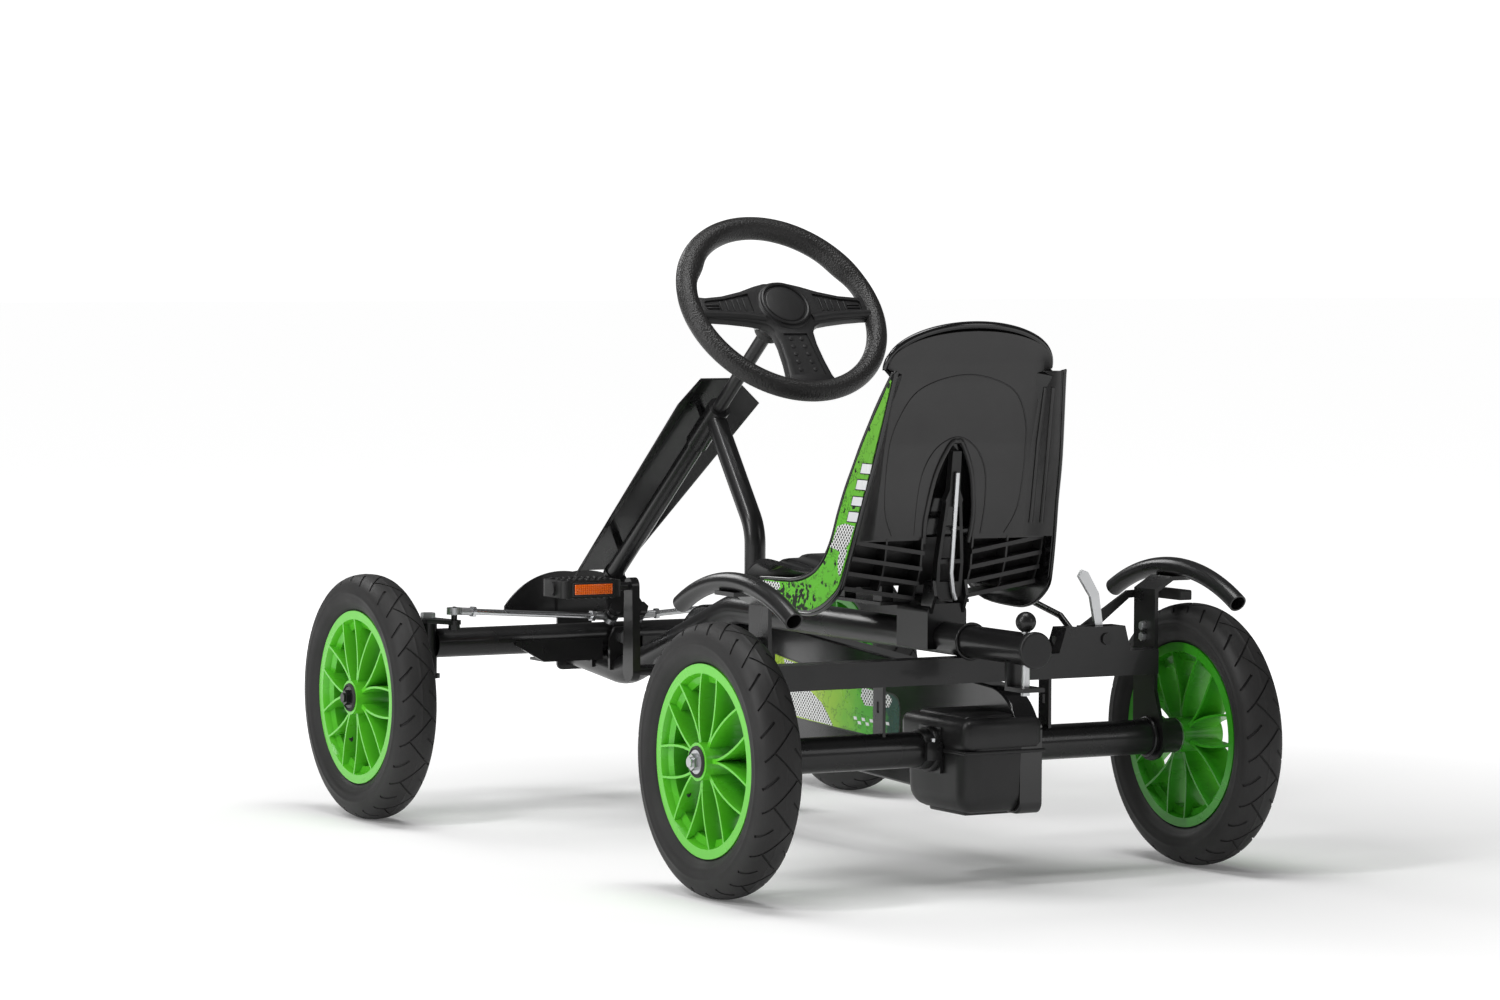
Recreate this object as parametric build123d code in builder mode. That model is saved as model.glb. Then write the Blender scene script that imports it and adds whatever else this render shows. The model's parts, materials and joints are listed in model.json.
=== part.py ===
from build123d import *
import math
import os

os.makedirs("parts", exist_ok=True)

# ---------------------------------------------------------------- driving dimensions (mm)
AXLE_X = 437.0            # half the wheelbase
AXLE_Z = 159.0            # wheel centre height, also the tyre radius
REAR_Y = 330.0            # half the rear track
FRONT_Y = 360.0           # half the front track
HUB_R = 22.0
PETALS = 7
VALVE_TURN = math.radians(146.3)   # the valve's place round the rim

TUBE_R = 19.0             # main tube
TUBE_WALL = 2.5
TUBE_Z = 285.0
REAR_END = -590.0

COLUMN_DEG = 39.0         # steering column rise above the ground
HEAD_X = 154.0            # top end of the column tube
HEAD_Z = 539.0
COLUMN_LENGTH = 362.0
SHAFT_R = 9.0
WHEEL_RISE = 205.0        # steering wheel centre above the head, along the column

CRANK_X = 252.0
CRANK_Z = 196.0
CRANK_R = 110.0
CHAIN_Y = -49.0
RING_R = 72.9             # 36 teeth at 12.7 mm pitch
SPROCKET_R = 28.5         # 14 teeth at 12.7 mm pitch

PIVOT_Z = 225.0           # front axle tube centre
KING_Y = 276.0
BALL_X = 392.0
BALL_Y = 260.0
BALL_Z = 270.0
INNER_X = 412.0
INNER_Y = 20.0
INNER_Z = 253.0

HITCH_X = -572.0
BRAKE_X = -440.0
BRAKE_Y = -190.0
BRAKE_Z = 281.0

COS = math.cos(math.radians(COLUMN_DEG))
SIN = math.sin(math.radians(COLUMN_DEG))
COLUMN_UP = (-COS, 0, SIN)
COLUMN_FRONT = (SIN, 0, COS)


def column_point(down, front, side=0.0):
    """A point given by its distance down the column, in front of its axis and to the left."""
    x = HEAD_X + down * COS + front * SIN
    z = HEAD_Z - down * SIN + front * COS
    return (x, side, z)


def column_plane(down, front=0.0):
    """A plane square to the column: its x points to the right, its y to the front."""
    return Plane(origin=column_point(down, front), x_dir=(0, -1, 0), z_dir=COLUMN_UP)


def side_plane(y):
    """A plane facing the driver's right: local x is forward and local y is up."""
    return Plane(origin=(0, y, 0), x_dir=(1, 0, 0), z_dir=(0, -1, 0))


def cross_plane(x):
    """A plane facing forward: local x is the driver's left and local y is up."""
    return Plane(origin=(x, 0, 0), x_dir=(0, 1, 0), z_dir=(1, 0, 0))


def disc(plane, radius, height, mode=Mode.ADD, at=(0, 0)):
    """A round rod standing on a plane."""
    with BuildSketch(plane) as flat:
        with Locations(at):
            Circle(radius)
    extrude(flat.sketch, amount=height, mode=mode)


def cyl_y(radius, y0, y1, x, z, mode=Mode.ADD):
    """A cylinder lying across the kart."""
    disc(side_plane(max(y0, y1)), radius, abs(y1 - y0), mode, (x, z))


def cyl_x(radius, x0, x1, y, z, mode=Mode.ADD):
    """A cylinder lying along the kart."""
    disc(cross_plane(x0), radius, x1 - x0, mode, (y, z))


def cyl_z(radius, z0, z1, x, y, mode=Mode.ADD):
    """An upright cylinder."""
    disc(Plane.XY.offset(z0), radius, z1 - z0, mode, (x, y))


def block(x0, x1, y0, y1, z0, z1, mode=Mode.ADD):
    """A box given by its two corners."""
    with Locations(((x0 + x1) / 2, (y0 + y1) / 2, (z0 + z1) / 2)):
        Box(x1 - x0, y1 - y0, z1 - z0, mode=mode)


def slab(plane, points, height, mode=Mode.ADD):
    """A closed outline on a plane, given thickness."""
    with BuildSketch(plane) as flat:
        with BuildLine():
            Polyline(*points, close=True)
        make_face()
    extrude(flat.sketch, amount=height, mode=mode)


def side_slab(points, y0, y1, mode=Mode.ADD):
    """An outline in the kart's side view, given thickness across the kart."""
    slab(side_plane(y1), points, y1 - y0, mode)


def cross_slab(points, x0, x1, mode=Mode.ADD):
    """An outline in the kart's front view, given thickness along the kart."""
    slab(cross_plane(x0), points, x1 - x0, mode)


def bolt(origin, direction, across, height, radius=0.0, length=0.0):
    """A hexagon head standing at a point, with its shank behind it."""
    plane = Plane(origin=origin, z_dir=direction)
    with BuildSketch(plane) as flat:
        RegularPolygon(across / 2, 6, major_radius=False)
    extrude(flat.sketch, amount=height)
    if length > 0:
        disc(plane, radius, -length)


def bent_tube(path_plane, points, bend, outer, inner):
    """A round tube swept along a bent path."""
    with BuildLine(path_plane) as path:
        FilletPolyline(*points, radius=bend)
    with BuildSketch(Plane(origin=path.line @ 0, z_dir=path.line % 0)) as ring:
        Circle(outer)
        Circle(inner, mode=Mode.SUBTRACT)
    sweep(ring.sketch, path=path.line)


SIDE = Plane(origin=(0, 0, 0), x_dir=(1, 0, 0), z_dir=(0, -1, 0))
MAIN_PATH = [(REAR_END, TUBE_Z), (110, TUBE_Z), (400, 180), (552, 196)]

# ---------------------------------------------------------------- main frame
with BuildPart() as main_tube:
    bent_tube(SIDE, MAIN_PATH, 110, TUBE_R, TUBE_R - TUBE_WALL)
    cyl_z(5.2, 255, 315, HITCH_X, 0, Mode.SUBTRACT)
    block(552, 600, -40, 40, 150, 260, Mode.SUBTRACT)
    with BuildSketch(cross_plane(552)) as end_plate:
        with Locations((0, 230)):
            RectangleRounded(52, 118, 8)
    extrude(end_plate.sketch, amount=4)
main_tube.part.label = "main_tube"
export_step(main_tube.part, "parts/main_tube.step")

with BuildPart() as main_tube_cap:
    cyl_x(21.5, REAR_END - 6, REAR_END, 0, TUBE_Z)
    fillet(main_tube_cap.edges().filter_by(GeomType.CIRCLE).sort_by(Axis.X)[:1], 3)
    cyl_x(TUBE_R - TUBE_WALL - 0.1, REAR_END, REAR_END + 11, 0, TUBE_Z)
main_tube_cap.part.label = "main_tube_cap"
export_step(main_tube_cap.part, "parts/main_tube_cap.step")

with BuildPart() as column_tube:
    disc(column_plane(COLUMN_LENGTH), 12, COLUMN_LENGTH)
    disc(column_plane(75), 15, 75)
    disc(column_plane(COLUMN_LENGTH), SHAFT_R + 0.4, COLUMN_LENGTH, Mode.SUBTRACT)
column_tube.part.label = "column_tube"
export_step(column_tube.part, "parts/column_tube.step")

with BuildPart() as column_strut:
    bent_tube(SIDE, [(60, 289), (60, 388), (161, 521)], 60, 13.4, 11.4)
    disc(column_plane(90), 15.02, 110, Mode.SUBTRACT)
    cyl_x(TUBE_R + 0.02, 20, 100, 0, TUBE_Z, Mode.SUBTRACT)
    block(20, 100, -30, 30, 260, 292, Mode.SUBTRACT)
column_strut.part.label = "column_strut"
export_step(column_strut.part, "parts/column_strut.step")


def fairing_section(down, half_face, half_wing, front_face, front_wing):
    """The folded sheet's outline square to the column."""
    t = 2.5
    outer = [(-half_wing, front_wing), (-half_face, front_face)]
    outer += [(half_face, front_face), (half_wing, front_wing)]
    inner = [(half_wing - t, front_wing), (half_face - t * 0.7, front_face - t)]
    inner += [(-half_face + t * 0.7, front_face - t), (-half_wing + t, front_wing)]
    with BuildSketch(column_plane(down)) as section:
        with BuildLine():
            Polyline(*outer, *inner, close=True)
        make_face()
    return section.sketch


with BuildPart() as fairing:
    loft([fairing_section(-20, 25, 61, 32, 4), fairing_section(415, 20, 34, 42, 27)], ruled=True)
    cut = [column_point(-60, 70), column_point(-22, 34), column_point(2, 0), column_point(-60, 0)]
    side_slab([(p[0], p[2]) for p in cut], -80, 80, Mode.SUBTRACT)
    for down, reach, length in ((40, 15.0, 17.5), (330, 12.0, 27.0)):
        stand = Plane(origin=column_point(down, reach), x_dir=(0, 1, 0), z_dir=COLUMN_FRONT)
        disc(stand, 5, length)
fairing.part.label = "fairing"
export_step(fairing.part, "parts/fairing.step")

with BuildPart() as main_core:
    bent_tube(SIDE, MAIN_PATH, 110, TUBE_R + 0.03, 0.2)

with BuildPart() as front_brackets:
    for x0 in (409, 460):
        slab(cross_plane(x0), [(-22, 182), (22, 182), (22, 225), (14, 239), (-14, 239), (-22, 225)], 5)
        cyl_x(6.0, x0, x0 + 5, 0, PIVOT_Z, Mode.SUBTRACT)
    add(main_core.part, mode=Mode.SUBTRACT)
    block(400, 470, -3, 3, 176, 195, Mode.SUBTRACT)
front_brackets.part.label = "front_brackets"
export_step(front_brackets.part, "parts/front_brackets.step")

with BuildPart() as nose_panel:
    with BuildSketch(cross_plane(556)) as nose_outline:
        with BuildLine():
            Line((-104, 247), (104, 247))
            Line((104, 247), (104, 259))
            ThreePointArc((104, 259), (70, 290), (0, 303))
            ThreePointArc((0, 303), (-70, 290), (-104, 259))
            Line((-104, 259), (-104, 247))
        make_face()
        fillet(nose_outline.vertices().sort_by(Axis.Y)[:2], 6)
    extrude(nose_outline.sketch, amount=3)
    block(536, 556, -96, -34, 247, 250)
    block(536, 556, 34, 96, 247, 250)
nose_panel.part.label = "nose_panel"
export_step(nose_panel.part, "parts/nose_panel.step")

with BuildPart() as axle_pivot_bolt:
    cyl_x(5.9, 404, 474, 0, PIVOT_Z)
    bolt((409, 0, PIVOT_Z), (-1, 0, 0), 18, 7)
    bolt((465, 0, PIVOT_Z), (1, 0, 0), 18, 9)
axle_pivot_bolt.part.label = "axle_pivot_bolt"
export_step(axle_pivot_bolt.part, "parts/axle_pivot_bolt.step")

with BuildPart() as bottom_bracket_shell:
    cyl_y(16, -33.8, 34, CRANK_X, CRANK_Z)
    cyl_y(9, -34, 34.1, CRANK_X, CRANK_Z, Mode.SUBTRACT)
    add(main_core.part, mode=Mode.SUBTRACT)
bottom_bracket_shell.part.label = "bottom_bracket_shell"
export_step(bottom_bracket_shell.part, "parts/bottom_bracket_shell.step")

# ---------------------------------------------------------------- rear frame
with BuildPart() as rear_cross_tube:
    block(-455, -425, -265.5, 265.5, 236, 266)
    block(-453, -427, -266, 266, 238, 264, Mode.SUBTRACT)
rear_cross_tube.part.label = "rear_cross_tube"
export_step(rear_cross_tube.part, "parts/rear_cross_tube.step")

with BuildPart() as hanger_bars:
    for y in (-115, 115):
        block(-448, -426, y - 2, y + 2, 175, 236)
        with BuildSketch(side_plane(y + 3)) as slot:
            with Locations((-437, 211)):
                SlotOverall(14, 5.5, rotation=90)
        extrude(slot.sketch, amount=6, mode=Mode.SUBTRACT)
    cyl_y(21.02, -130, 130, -AXLE_X, AXLE_Z, Mode.SUBTRACT)
hanger_bars.part.label = "hanger_bars"
export_step(hanger_bars.part, "parts/hanger_bars.step")

with BuildPart() as fender_bracket_left:
    cross_slab([(265.5, 159), (270.5, 159), (270.5, 334), (292, 347), (316, 347),
                (316, 351.9), (290, 351.9), (265.5, 337)], -446, -401)
    with BuildSketch(side_plane(270.5)) as foot:
        with Locations((-AXLE_X, AXLE_Z)):
            Circle(29)
        with BuildLine():
            Polyline((-466, 159), (-446, 215), (-401, 215), (-408, 159), close=True)
        make_face()
    extrude(foot.sketch, amount=5)
    cyl_y(21.02, 260, 275, -AXLE_X, AXLE_Z, Mode.SUBTRACT)
    for z in (279, 292):
        cyl_y(3.6, 260, 275, -424, z, Mode.SUBTRACT)
fender_bracket_left.part.label = "fender_bracket_left"
export_step(fender_bracket_left.part, "parts/fender_bracket_left.step")

with BuildPart() as fender_bracket_right:
    mirror(fender_bracket_left.part, about=Plane.XZ)
fender_bracket_right.part.label = "fender_bracket_right"
export_step(fender_bracket_right.part, "parts/fender_bracket_right.step")

with BuildPart() as fender_bar_left:
    with BuildLine(side_plane(304)) as hoop:
        ThreePointArc((-300, 329), (-431, 363), (-563, 327))
    with BuildSketch(Plane(origin=hoop.line @ 0, z_dir=hoop.line % 0)) as bar_ring:
        Circle(11)
        Circle(9, mode=Mode.SUBTRACT)
    sweep(bar_ring.sketch, path=hoop.line)
    add(fender_bracket_left.part, mode=Mode.SUBTRACT)
    bar_solid = fender_bar_left.solids().sort_by(SortBy.VOLUME)[-1]
    add(bar_solid, mode=Mode.REPLACE)
fender_bar_left.part.label = "fender_bar_left"
export_step(fender_bar_left.part, "parts/fender_bar_left.step")

with BuildPart() as fender_bar_right:
    mirror(fender_bar_left.part, about=Plane.XZ)
fender_bar_right.part.label = "fender_bar_right"
export_step(fender_bar_right.part, "parts/fender_bar_right.step")

with BuildPart() as rear_axle_tube_left:
    cyl_y(21, 41.5, 300, -AXLE_X, AXLE_Z)
    block(-461, -413, 41.5, 46, 132, 186)
    for x in (-465, -415):
        block(x, x + 6, 46, 66, 148, 170)
    cyl_y(21, 41.5, 70, -AXLE_X, AXLE_Z)
    cyl_y(18, 41, 301, -AXLE_X, AXLE_Z, Mode.SUBTRACT)
    for y0 in (42, 286):
        cyl_y(18, y0, y0 + 13, -AXLE_X, AXLE_Z)
        cyl_y(10.15, y0 - 1, y0 + 14, -AXLE_X, AXLE_Z, Mode.SUBTRACT)
rear_axle_tube_left.part.label = "rear_axle_tube_left"
export_step(rear_axle_tube_left.part, "parts/rear_axle_tube_left.step")

with BuildPart() as rear_axle_tube_right:
    cyl_y(21, -300, -64.5, -AXLE_X, AXLE_Z)
    block(-461, -413, -69, -64.5, 132, 186)
    cyl_y(18, -301, -60, -AXLE_X, AXLE_Z, Mode.SUBTRACT)
    for y0 in (-299, -78):
        cyl_y(18, y0, y0 + 13, -AXLE_X, AXLE_Z)
        cyl_y(10.15, y0 - 1, y0 + 14, -AXLE_X, AXLE_Z, Mode.SUBTRACT)
rear_axle_tube_right.part.label = "rear_axle_tube_right"
export_step(rear_axle_tube_right.part, "parts/rear_axle_tube_right.step")

CASE = [(-510, 84), (-366, 84), (-366, 197), (-510, 197)]

with BuildPart() as gear_case:
    side_slab(CASE, -33.9, 41)
    fillet(gear_case.edges().filter_by(Axis.Z), 14)
    fillet(gear_case.edges().group_by(Axis.Z)[-1], 9)
    fillet(gear_case.edges().group_by(Axis.Z)[0], 12)
    with BuildSketch(Plane(origin=(-438, 3.55, 91))) as hollow:
        RectangleRounded(138, 68.9, 11)
    extrude(hollow.sketch, amount=103, mode=Mode.SUBTRACT)
    cyl_y(18.2, -70, 50, -AXLE_X, AXLE_Z, Mode.SUBTRACT)

with BuildPart() as gear_case_upper:
    add(gear_case.part)
    block(-600, -300, -100, 100, 50, 160, Mode.SUBTRACT)
gear_case_upper.part.label = "gear_case_upper"
export_step(gear_case_upper.part, "parts/gear_case_upper.step")

with BuildPart() as gear_case_lower:
    add(gear_case.part)
    block(-600, -300, -100, 100, 160, 260, Mode.SUBTRACT)
gear_case_lower.part.label = "gear_case_lower"
export_step(gear_case_lower.part, "parts/gear_case_lower.step")


def case_outline(grow):
    """The chain case seen from the side, grown by a margin."""
    with BuildSketch(side_plane(-34)) as outline:
        with Locations((CRANK_X, CRANK_Z)):
            Circle(82 + grow)
        with Locations((-AXLE_X, AXLE_Z)):
            Circle(72 + grow)
        make_hull()
        with Locations((-438, 140.5)):
            RectangleRounded(144 + 2 * grow, 113 + 2 * grow, 14 + grow)
    return outline.sketch


with BuildPart() as chain_case:
    extrude(case_outline(0), amount=30)
    fillet(chain_case.edges().group_by(Axis.Y)[-1], 3)
    extrude(case_outline(-2).moved(Location((0, -2, 0))), amount=26, mode=Mode.SUBTRACT)
    cyl_y(12, -36.5, -33, CRANK_X, CRANK_Z, Mode.SUBTRACT)
    cyl_y(12, -65, -61, CRANK_X, CRANK_Z, Mode.SUBTRACT)
    cyl_y(18.2, -70, -30, -AXLE_X, AXLE_Z, Mode.SUBTRACT)
    add(main_core.part, mode=Mode.SUBTRACT)
chain_case.part.label = "chain_case"
export_step(chain_case.part, "parts/chain_case.step")

with BuildPart() as chain:
    with BuildSketch(side_plane(CHAIN_Y + 3.5)) as loop:
        with Locations((CRANK_X, CRANK_Z)):
            Circle(RING_R + 4.3)
        with Locations((-AXLE_X, AXLE_Z)):
            Circle(SPROCKET_R + 4.3)
        make_hull()
    extrude(loop.sketch, amount=7)
    with BuildSketch(side_plane(CHAIN_Y + 4)) as hole:
        with Locations((CRANK_X, CRANK_Z)):
            Circle(RING_R + 0.4)
        with Locations((-AXLE_X, AXLE_Z)):
            Circle(SPROCKET_R + 0.4)
        make_hull()
    extrude(hole.sketch, amount=8, mode=Mode.SUBTRACT)
chain.part.label = "chain"
export_step(chain.part, "parts/chain.step")

with BuildPart() as hitch_bracket:
    side_slab([(-590, 236), (-551, 236), (-551, 270), (-556, 270), (-556, 241), (-590, 241)], -15, 15)
    cyl_z(5.3, 230, 245, HITCH_X, 0, Mode.SUBTRACT)
    cyl_x(TUBE_R + 0.02, -600, -540, 0, TUBE_Z, Mode.SUBTRACT)
hitch_bracket.part.label = "hitch_bracket"
export_step(hitch_bracket.part, "parts/hitch_bracket.step")

with BuildPart() as hitch_pin:
    cyl_z(5, 231, 316, HITCH_X, 0)
    with Locations((HITCH_X, 0, 316.5)):
        Sphere(12)
hitch_pin.part.label = "hitch_pin"
export_step(hitch_pin.part, "parts/hitch_pin.step")

# ---------------------------------------------------------------- brake
with BuildPart() as brake_bracket:
    cross_slab([(-123, 266), (-225, 266), (-217, 296), (-133, 296)], -455, -425)
    cross_slab([(-128, 260), (-220, 260), (-214.5, 293), (-135.5, 293)], -452, -428, Mode.SUBTRACT)
    block(-447, -434, -212, -166, 290, 300, Mode.SUBTRACT)
    cyl_x(7.3, -460, -420, BRAKE_Y, BRAKE_Z, Mode.SUBTRACT)
    cyl_y(6.2, -170, -125, BRAKE_X + 6, 279, Mode.SUBTRACT)
    block(-441, -420, -167, -153, 277, 300, Mode.SUBTRACT)
brake_bracket.part.label = "brake_bracket"
export_step(brake_bracket.part, "parts/brake_bracket.step")

with BuildPart() as brake_lever:
    cyl_x(7, -458, -394, BRAKE_Y, BRAKE_Z)
    cross_slab([(-195, 281), (-185, 281), (-175, 331), (-158, 356), (-163, 364), (-171, 361),
                (-187, 335)], -443, -438)
    cross_slab([(-184, 278), (-184, 288), (-258, 333), (-316, 335), (-316, 327), (-260, 324),
                (-196, 277)], -399, -394)
brake_lever.part.label = "brake_lever"
export_step(brake_lever.part, "parts/brake_lever.step")

with BuildPart() as brake_pad:
    block(-450, -399, -316, -300, 323, 335)
    fillet(brake_pad.edges().filter_by(Axis.Y), 2)
brake_pad.part.label = "brake_pad"
export_step(brake_pad.part, "parts/brake_pad.step")

with BuildPart() as hand_lever:
    cyl_y(6, -165, -129, BRAKE_X + 6, 279)
    with BuildLine() as reach:
        Polyline((BRAKE_X + 6, -160, 284), (BRAKE_X + 40, -160, 306), (-330, -166, 318), (-235, -168, 338))
    with BuildSketch(Plane(origin=reach.line @ 0, z_dir=reach.line % 0)) as stick:
        Circle(4)
    sweep(stick.sketch, path=reach.line, transition=Transition.ROUND)
    with Locations(Plane(origin=(-262, -167.4, 332.3), z_dir=(95, -2, 20))):
        Cylinder(9, 84)
hand_lever.part.label = "hand_lever"
export_step(hand_lever.part, "parts/hand_lever.step")

# ---------------------------------------------------------------- seat
BACK = [(-466, 659), (-450, 612), (-437, 565), (-422, 515), (-409, 440), (-399, 395)]
BOTTOM = [(-385, 356), (-350, 338), (-300, 336), (-200, 346), (-172, 338)]


def seat_profile(forward):
    """The rear and underside line of the seat, moved forward and up by a margin."""
    back = [(x + forward, z) for x, z in BACK]
    pan = [(x + forward * 0.6, z + forward * 0.8) for x, z in BOTTOM[:2]]
    pan += [(x, z + forward * 1.0) for x, z in BOTTOM[2:]]
    return back + pan


def seat_front_view(top, narrow):
    """The seat seen from the front, used to trim its shells."""
    half = [(148 - narrow, 300), (148 - narrow, 350), (143 - narrow, 405), (106, 412), (104, 600)]
    half += [(95, top - 34), (76, top - 16), (45, top - 4), (0, top)]
    other = [(-y, z) for y, z in reversed(half[:-1])]
    return half + other


WALL_TILT = math.atan(31.0 / 273.0)
WALL_COS = math.cos(WALL_TILT)
WALL_PLANE = Plane(origin=(0, 149, 330), x_dir=(-1, 0, 0), z_dir=(0, WALL_COS, math.sin(WALL_TILT)))
WALL_REAR = [(-474, 603), (-447, 500), (-430, 447), (-418, 405), (-404, 362), (-394, 342)]
WALL_REAR += [(-370, 327), (-345, 317), (-315, 314), (-250, 318), (-212, 336)]
WALL_FRONT = [(-205, 350), (-259, 351), (-284, 352), (-309, 356), (-332, 364), (-350, 377)]
WALL_FRONT += [(-361, 392), (-369, 410), (-376, 435), (-387, 465), (-399, 490), (-411, 515)]
WALL_FRONT += [(-425, 540), (-441, 567), (-468, 604)]
PRINT = [(-466, 595), (-443, 500), (-426, 447), (-414, 405), (-400, 364), (-391, 346), (-368, 331)]
PRINT += [(-344, 321), (-315, 318), (-250, 322), (-215, 338), (-209, 347), (-259, 347.5)]
PRINT += [(-286, 348.5), (-311, 352), (-335, 360.5), (-354, 374.5), (-365, 390), (-373, 409)]
PRINT += [(-380, 434), (-391, 463), (-402, 487), (-414, 511), (-429, 538), (-445, 564)]


def on_wall(points):
    """Side view points carried onto the leaning side wall."""
    return [(-x, (z - 330) / WALL_COS) for x, z in points]


def wing_web(levels, thick):
    """A slanted web between the seat back and a side wall, through level sections."""
    sections = []
    for z, x_back, x_wall, y_wall in levels:
        with BuildSketch(Plane.XY.offset(z)) as level:
            with BuildLine():
                Polyline((x_back, 102), (x_wall, y_wall), (x_wall + thick, y_wall),
                         (x_back + thick, 102), close=True)
            make_face()
        sections.append(level.sketch)
    loft(sections, ruled=True)


with BuildPart() as seat_wall:
    slab(WALL_PLANE, on_wall(WALL_REAR + WALL_FRONT), -5)
    wing_web([(411, -380, -373.5, 136), (500, -399, -408, 126), (598, -425, -470, 115)], 5)

with BuildPart() as seat_shell:
    side_slab(seat_profile(26) + list(reversed(seat_profile(20))), -150, 150)
    with BuildSketch(cross_plane(-600)) as trim:
        with BuildLine():
            Polyline(*seat_front_view(659, 3), close=True)
        make_face()
    extrude(trim.sketch, amount=600, mode=Mode.INTERSECT)
    add(seat_wall.part)
    mirror(seat_wall.part, about=Plane.XZ)
seat_shell.part.label = "seat_shell"
export_step(seat_shell.part, "parts/seat_shell.step")

with BuildPart() as back_web:
    wing_web([(412, -402.5, -416, 134.5), (500, -418.5, -442.5, 124.5), (598, -446, -469, 113.5)], 3)
    add(seat_shell.part, mode=Mode.SUBTRACT)

with BuildPart() as seat_back_shell:
    rear_face = seat_profile(0)[:6]
    skin = [(x + 3, z) for x, z in rear_face]
    band = [(-399, 395), (-403, 412), (-383, 412), (-379, 395), (-373, 372), (-338, 354)]
    band += [(-352, 338.5), (-385, 356)]
    side_slab(rear_face + list(reversed(skin)), -150, 150)
    side_slab(band, -150, 150)
    with BuildSketch(cross_plane(-600)) as back_trim:
        with BuildLine():
            Polyline(*seat_front_view(648, 9.5), close=True)
        make_face()
    extrude(back_trim.sketch, amount=600, mode=Mode.INTERSECT)
    add(back_web.part)
    mirror(back_web.part, about=Plane.XZ)
    cross_slab([(-30, 330), (30, 330), (34, 430), (26, 480), (12, 517), (-12, 517), (-26, 480),
                (-34, 430)], -500, -300, Mode.SUBTRACT)
    for z0, z1, x1 in ((376, 406, -386), (358, 373, -380)):
        for y0, y1 in ((-134, -97), (-94, -64), (-61, -34), (34, 61), (64, 94), (97, 134)):
            block(-460, x1 - 2, y0, y1, z0, z1, Mode.SUBTRACT)
    add(seat_shell.part, mode=Mode.SUBTRACT)
seat_back_shell.part.label = "seat_back_shell"
export_step(seat_back_shell.part, "parts/seat_back_shell.step")

with BuildPart() as seat_side_prints:
    slab(WALL_PLANE, on_wall(PRINT), 1)
    mirror(seat_side_prints.part, about=Plane.XZ)
seat_side_prints.part.label = "seat_side_prints"
export_step(seat_side_prints.part, "parts/seat_side_prints.step")

with BuildPart() as seat_clamp:
    block(-400, -330, -27, 27, 272, 326)
    fillet(seat_clamp.edges().filter_by(Axis.X).group_by(Axis.Z)[-1], 10)
    block(-330, -235, -20, 20, 307, 322)
    block(-350, -235, -62, 62, 322, 326)
    for x0 in (-346, -260):
        for y0 in (-58, 42):
            block(x0, x0 + 20, y0, y0 + 16, 325, 385)
    cyl_x(TUBE_R + 0.3, -420, -200, 0, TUBE_Z, Mode.SUBTRACT)
    lift = seat_profile(20)[7:] + [(-172, 420), (-385, 420), (-373, 372)]
    side_slab(lift, -150, 150, Mode.SUBTRACT)
    for y0 in (-24, 20):
        side_slab([(-410, 336), (-396, 306), (-380, 306), (-380, 326), (-388, 354), (-406, 354)],
                  y0, y0 + 4)
    cyl_y(4, -26, 26, -398, 343)
    add(seat_shell.part, mode=Mode.SUBTRACT)
    add(seat_back_shell.part, mode=Mode.SUBTRACT)
seat_clamp.part.label = "seat_clamp"
export_step(seat_clamp.part, "parts/seat_clamp.step")

LEVER_TILT = math.radians(6)
LEVER_PLANE = Plane(origin=(-403, 0, 338), x_dir=(0, -1, 0),
                    z_dir=(-math.cos(LEVER_TILT), 0, -math.sin(LEVER_TILT)))

with BuildPart() as seat_lever:
    slab(LEVER_PLANE, [(-12, -7), (12, -7), (18, 0), (18, 38), (11, 108), (12, 112), (7, 124),
                       (6, 170), (-6, 170), (-7, 124), (-12, 112), (-11, 108), (-18, 38),
                       (-18, 0)], -10)
    for window in ([(-13, 14), (13, 14), (14, 36), (-14, 36)],
                   [(-13.5, 41), (13.5, 41), (10, 76), (-10, 76)],
                   [(-9.5, 80), (9.5, 80), (7.5, 104), (-7.5, 104)]):
        slab(LEVER_PLANE, window, -10, Mode.SUBTRACT)
    cyl_y(4.2, -30, 30, -398, 343, Mode.SUBTRACT)
seat_lever.part.label = "seat_lever"
export_step(seat_lever.part, "parts/seat_lever.step")

with BuildPart() as seat_lever_rod:
    with BuildLine() as rod_line:
        Polyline((-421.5, 0, 482), (-408.5, 0, 362), (-406.6, -4, 340), (-405.5, -8, 331))
    with BuildSketch(Plane(origin=rod_line.line @ 0, z_dir=rod_line.line % 0)) as rod_section:
        Circle(3)
    sweep(rod_section.sketch, path=rod_line.line, transition=Transition.ROUND)
seat_lever_rod.part.label = "seat_lever_rod"
export_step(seat_lever_rod.part, "parts/seat_lever_rod.step")

# ---------------------------------------------------------------- front axle
with BuildPart() as front_axle:
    cyl_y(19, -268, 268, AXLE_X, PIVOT_Z)
    cyl_y(16.5, -268, 268, AXLE_X, PIVOT_Z, Mode.SUBTRACT)
    cyl_x(9, AXLE_X - 19, AXLE_X + 19, 0, PIVOT_Z)
    for side in (-1, 1):
        cyl_z(12, 186, 252, AXLE_X, side * KING_Y)
        cross_slab([(side * 30, 196), (side * 117, 196), (side * 158, 219), (side * 158, 225),
                    (side * 30, 225)], 414, 419)
        block(414, 456, min(side * 30, side * 117), max(side * 30, side * 117), 196, 199.5)
    for side in (-1, 1):
        cyl_z(5.15, 180, 260, AXLE_X, side * KING_Y, Mode.SUBTRACT)
    cyl_x(6.1, 410, 470, 0, PIVOT_Z, Mode.SUBTRACT)
front_axle.part.label = "front_axle"
export_step(front_axle.part, "parts/front_axle.step")

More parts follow.
